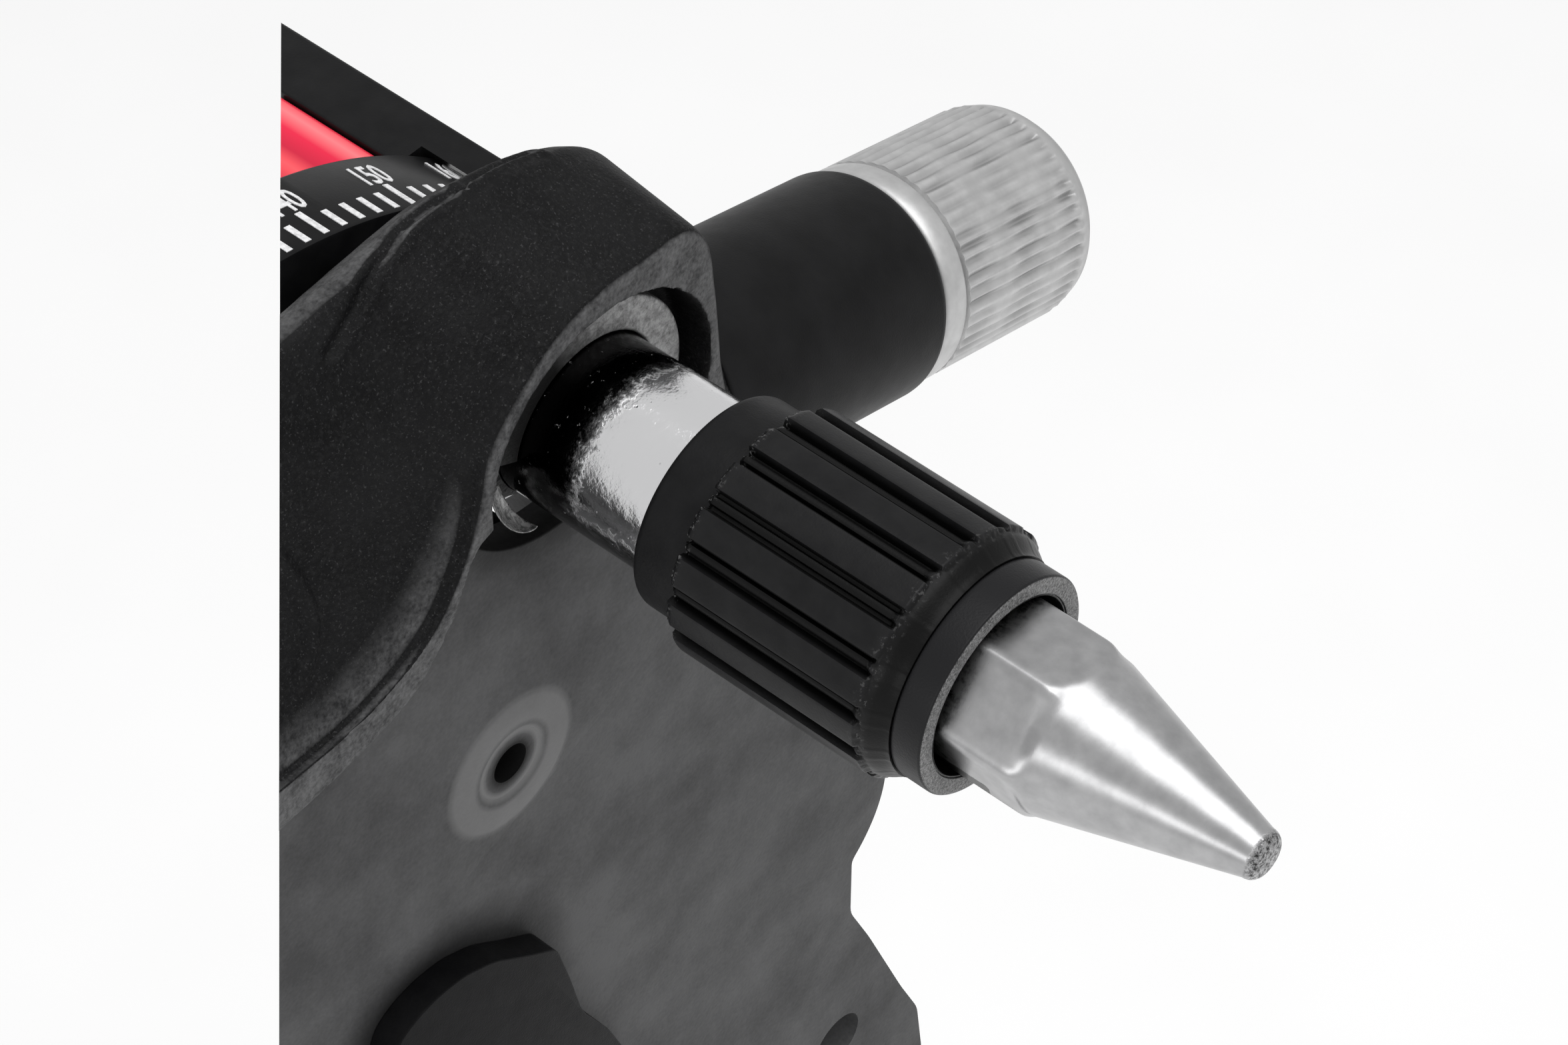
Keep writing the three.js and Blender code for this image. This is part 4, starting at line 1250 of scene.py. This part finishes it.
def fixings(steel, spring):
    low, high = span("circlip")
    profile = filleted(ring_profile(low, high, BARREL_R - 0.45, BARREL_R + 1.4), 0.08, 2)
    clip = object_from(round_turned(profile, PUNCH, 128, True), "retaining_ring", 40)
    gap = block_tool(low[0] - 1, high[0] + 1, oblong(-1.6, 3, 1.6, 12))
    resharpen(combine(clip, [gap]), 40)
    stand_for(clip, "circlip", spring)
    ring_piece("back_washer", "washer", BARREL_R + 0.1, 8.6, steel, fillet=0.15)
    at = PUNCH @ Matrix.Translation((0, *BOSS_AT))
    outline = filleted([
        (-27.5, 0), (-27.5, 1.1), (-21.1, 1.1), (-21.1, 1.3), (-18.9, 1.3), (-18.9, 0.7), (-19.8, 0.55),
        (-19.8, 0),
    ], 0.08, 3, False)
    turned_piece("cover_screw", "screw_in_boss", outline, steel, at, closed=False, segments=48)
    low, high = span("cover_lug")
    outline = filleted(oblong(low[1], low[2], high[1], high[2]), 0.8, 4)
    lug = object_from(cut_at_root(drawn(outline, low[0], high[0], 0.3)), "lug", 35)
    combine(lug, [rod_object(-30, 0, 1.45, at, 48)])
    resharpen(lug, 35)
    stand_for(lug, "cover_lug", satin_black_paint())
    ring_piece("clamp_screw", "screw_of_clamp", 0, CLAMP_SCREW_R, steel, CLAMP, 0.3)
    ring_piece("clamp_cotter", "cotter", 0, CLAMP_SCREW_R, steel, CLAMP, 0.4)


def inner_pieces():
    steel = turned_steel()
    spring = turned_steel("spring_steel", (1, 1, 1), (0.2, 0.3))
    punch_inside(steel, spring, turned_brass())
    fixings(steel, spring)


# ---- floor, light and camera ----
# Metres, watts, and the camera's own lens and sensor in millimetres.
FLOOR_DROP = 0.16
FLOOR_HALF = 6.0
WORLD_STRENGTH = 0.70
OVERHEAD_POWER = 3.9
FRONT_POWER = 1.5
LENS = 105.25
SENSOR = 36
CAMERA_AT = (0.13906, -0.11537, 0.20023)
CAMERA_BACK = (0.43969, -0.50723, 0.74121)
CAMERA_RIGHT = (0.7556, 0.6550, 0)


def soft_light(name, at, target, size, power):
    data = bpy.data.lights.new(name, "AREA")
    data.shape = "RECTANGLE"
    data.size, data.size_y = size
    data.energy = power
    light = linked(name, data)
    light.location = at
    light.rotation_euler = (Vector(target) - Vector(at)).to_track_quat("-Z", "Y").to_euler()


def studio():
    bm = bmesh.new()
    bmesh.ops.create_grid(bm, x_segments=8, y_segments=8, size=FLOOR_HALF)
    floor = object_from(bm, "floor")
    floor.location = (0, 0, cad_box[0][2] - FLOOR_DROP)
    p = Paint("pale_floor", 0.93, 0.9, specular=0.1)
    p.color(p.wash((40, 2), (0.3, 0.965), (0.7, 0.98)))
    floor.data.materials.append(p.material)
    world = bpy.data.worlds.new("studio")
    world.use_nodes = True
    background = world.node_tree.nodes["Background"]
    background.inputs["Color"].default_value = (1, 1, 1, 1)
    background.inputs["Strength"].default_value = WORLD_STRENGTH
    bpy.context.scene.world = world
    middle = Vector((0.03, 0.02, -0.01))
    soft_light("overhead", middle + Vector((0.13, 0.06, 0.78)), middle, (0.7, 0.75), OVERHEAD_POWER)
    soft_light("front", middle + Vector((0.16, -0.9, 0.18)), middle, (0.9, 0.22), FRONT_POWER)


def camera():
    data = bpy.data.cameras.new("camera")
    data.lens = LENS
    data.sensor_width = SENSOR
    data.sensor_fit = "HORIZONTAL"
    data.clip_start = 0.01
    data.clip_end = 50
    cam = linked("camera", data)
    back = Vector(CAMERA_BACK).normalized()
    right = Vector(CAMERA_RIGHT).normalized()
    turn = Matrix((right, back.cross(right), back)).transposed().to_4x4()
    cam.matrix_world = Matrix.Translation(CAMERA_AT) @ turn
    bpy.context.scene.camera = cam


camera()
studio()
for piece in (
    arm_casting, recess_disc, spring_clip, base_cover, centre_cap, barrel, rear_collar, grip_sleeve,
    nose_ring, punch_point, clamp_tube, knurled_knob, index_ring, ring_carrier, housing, inner_pieces,
):
    piece()

bpy.context.scene.view_settings.view_transform = "Standard"
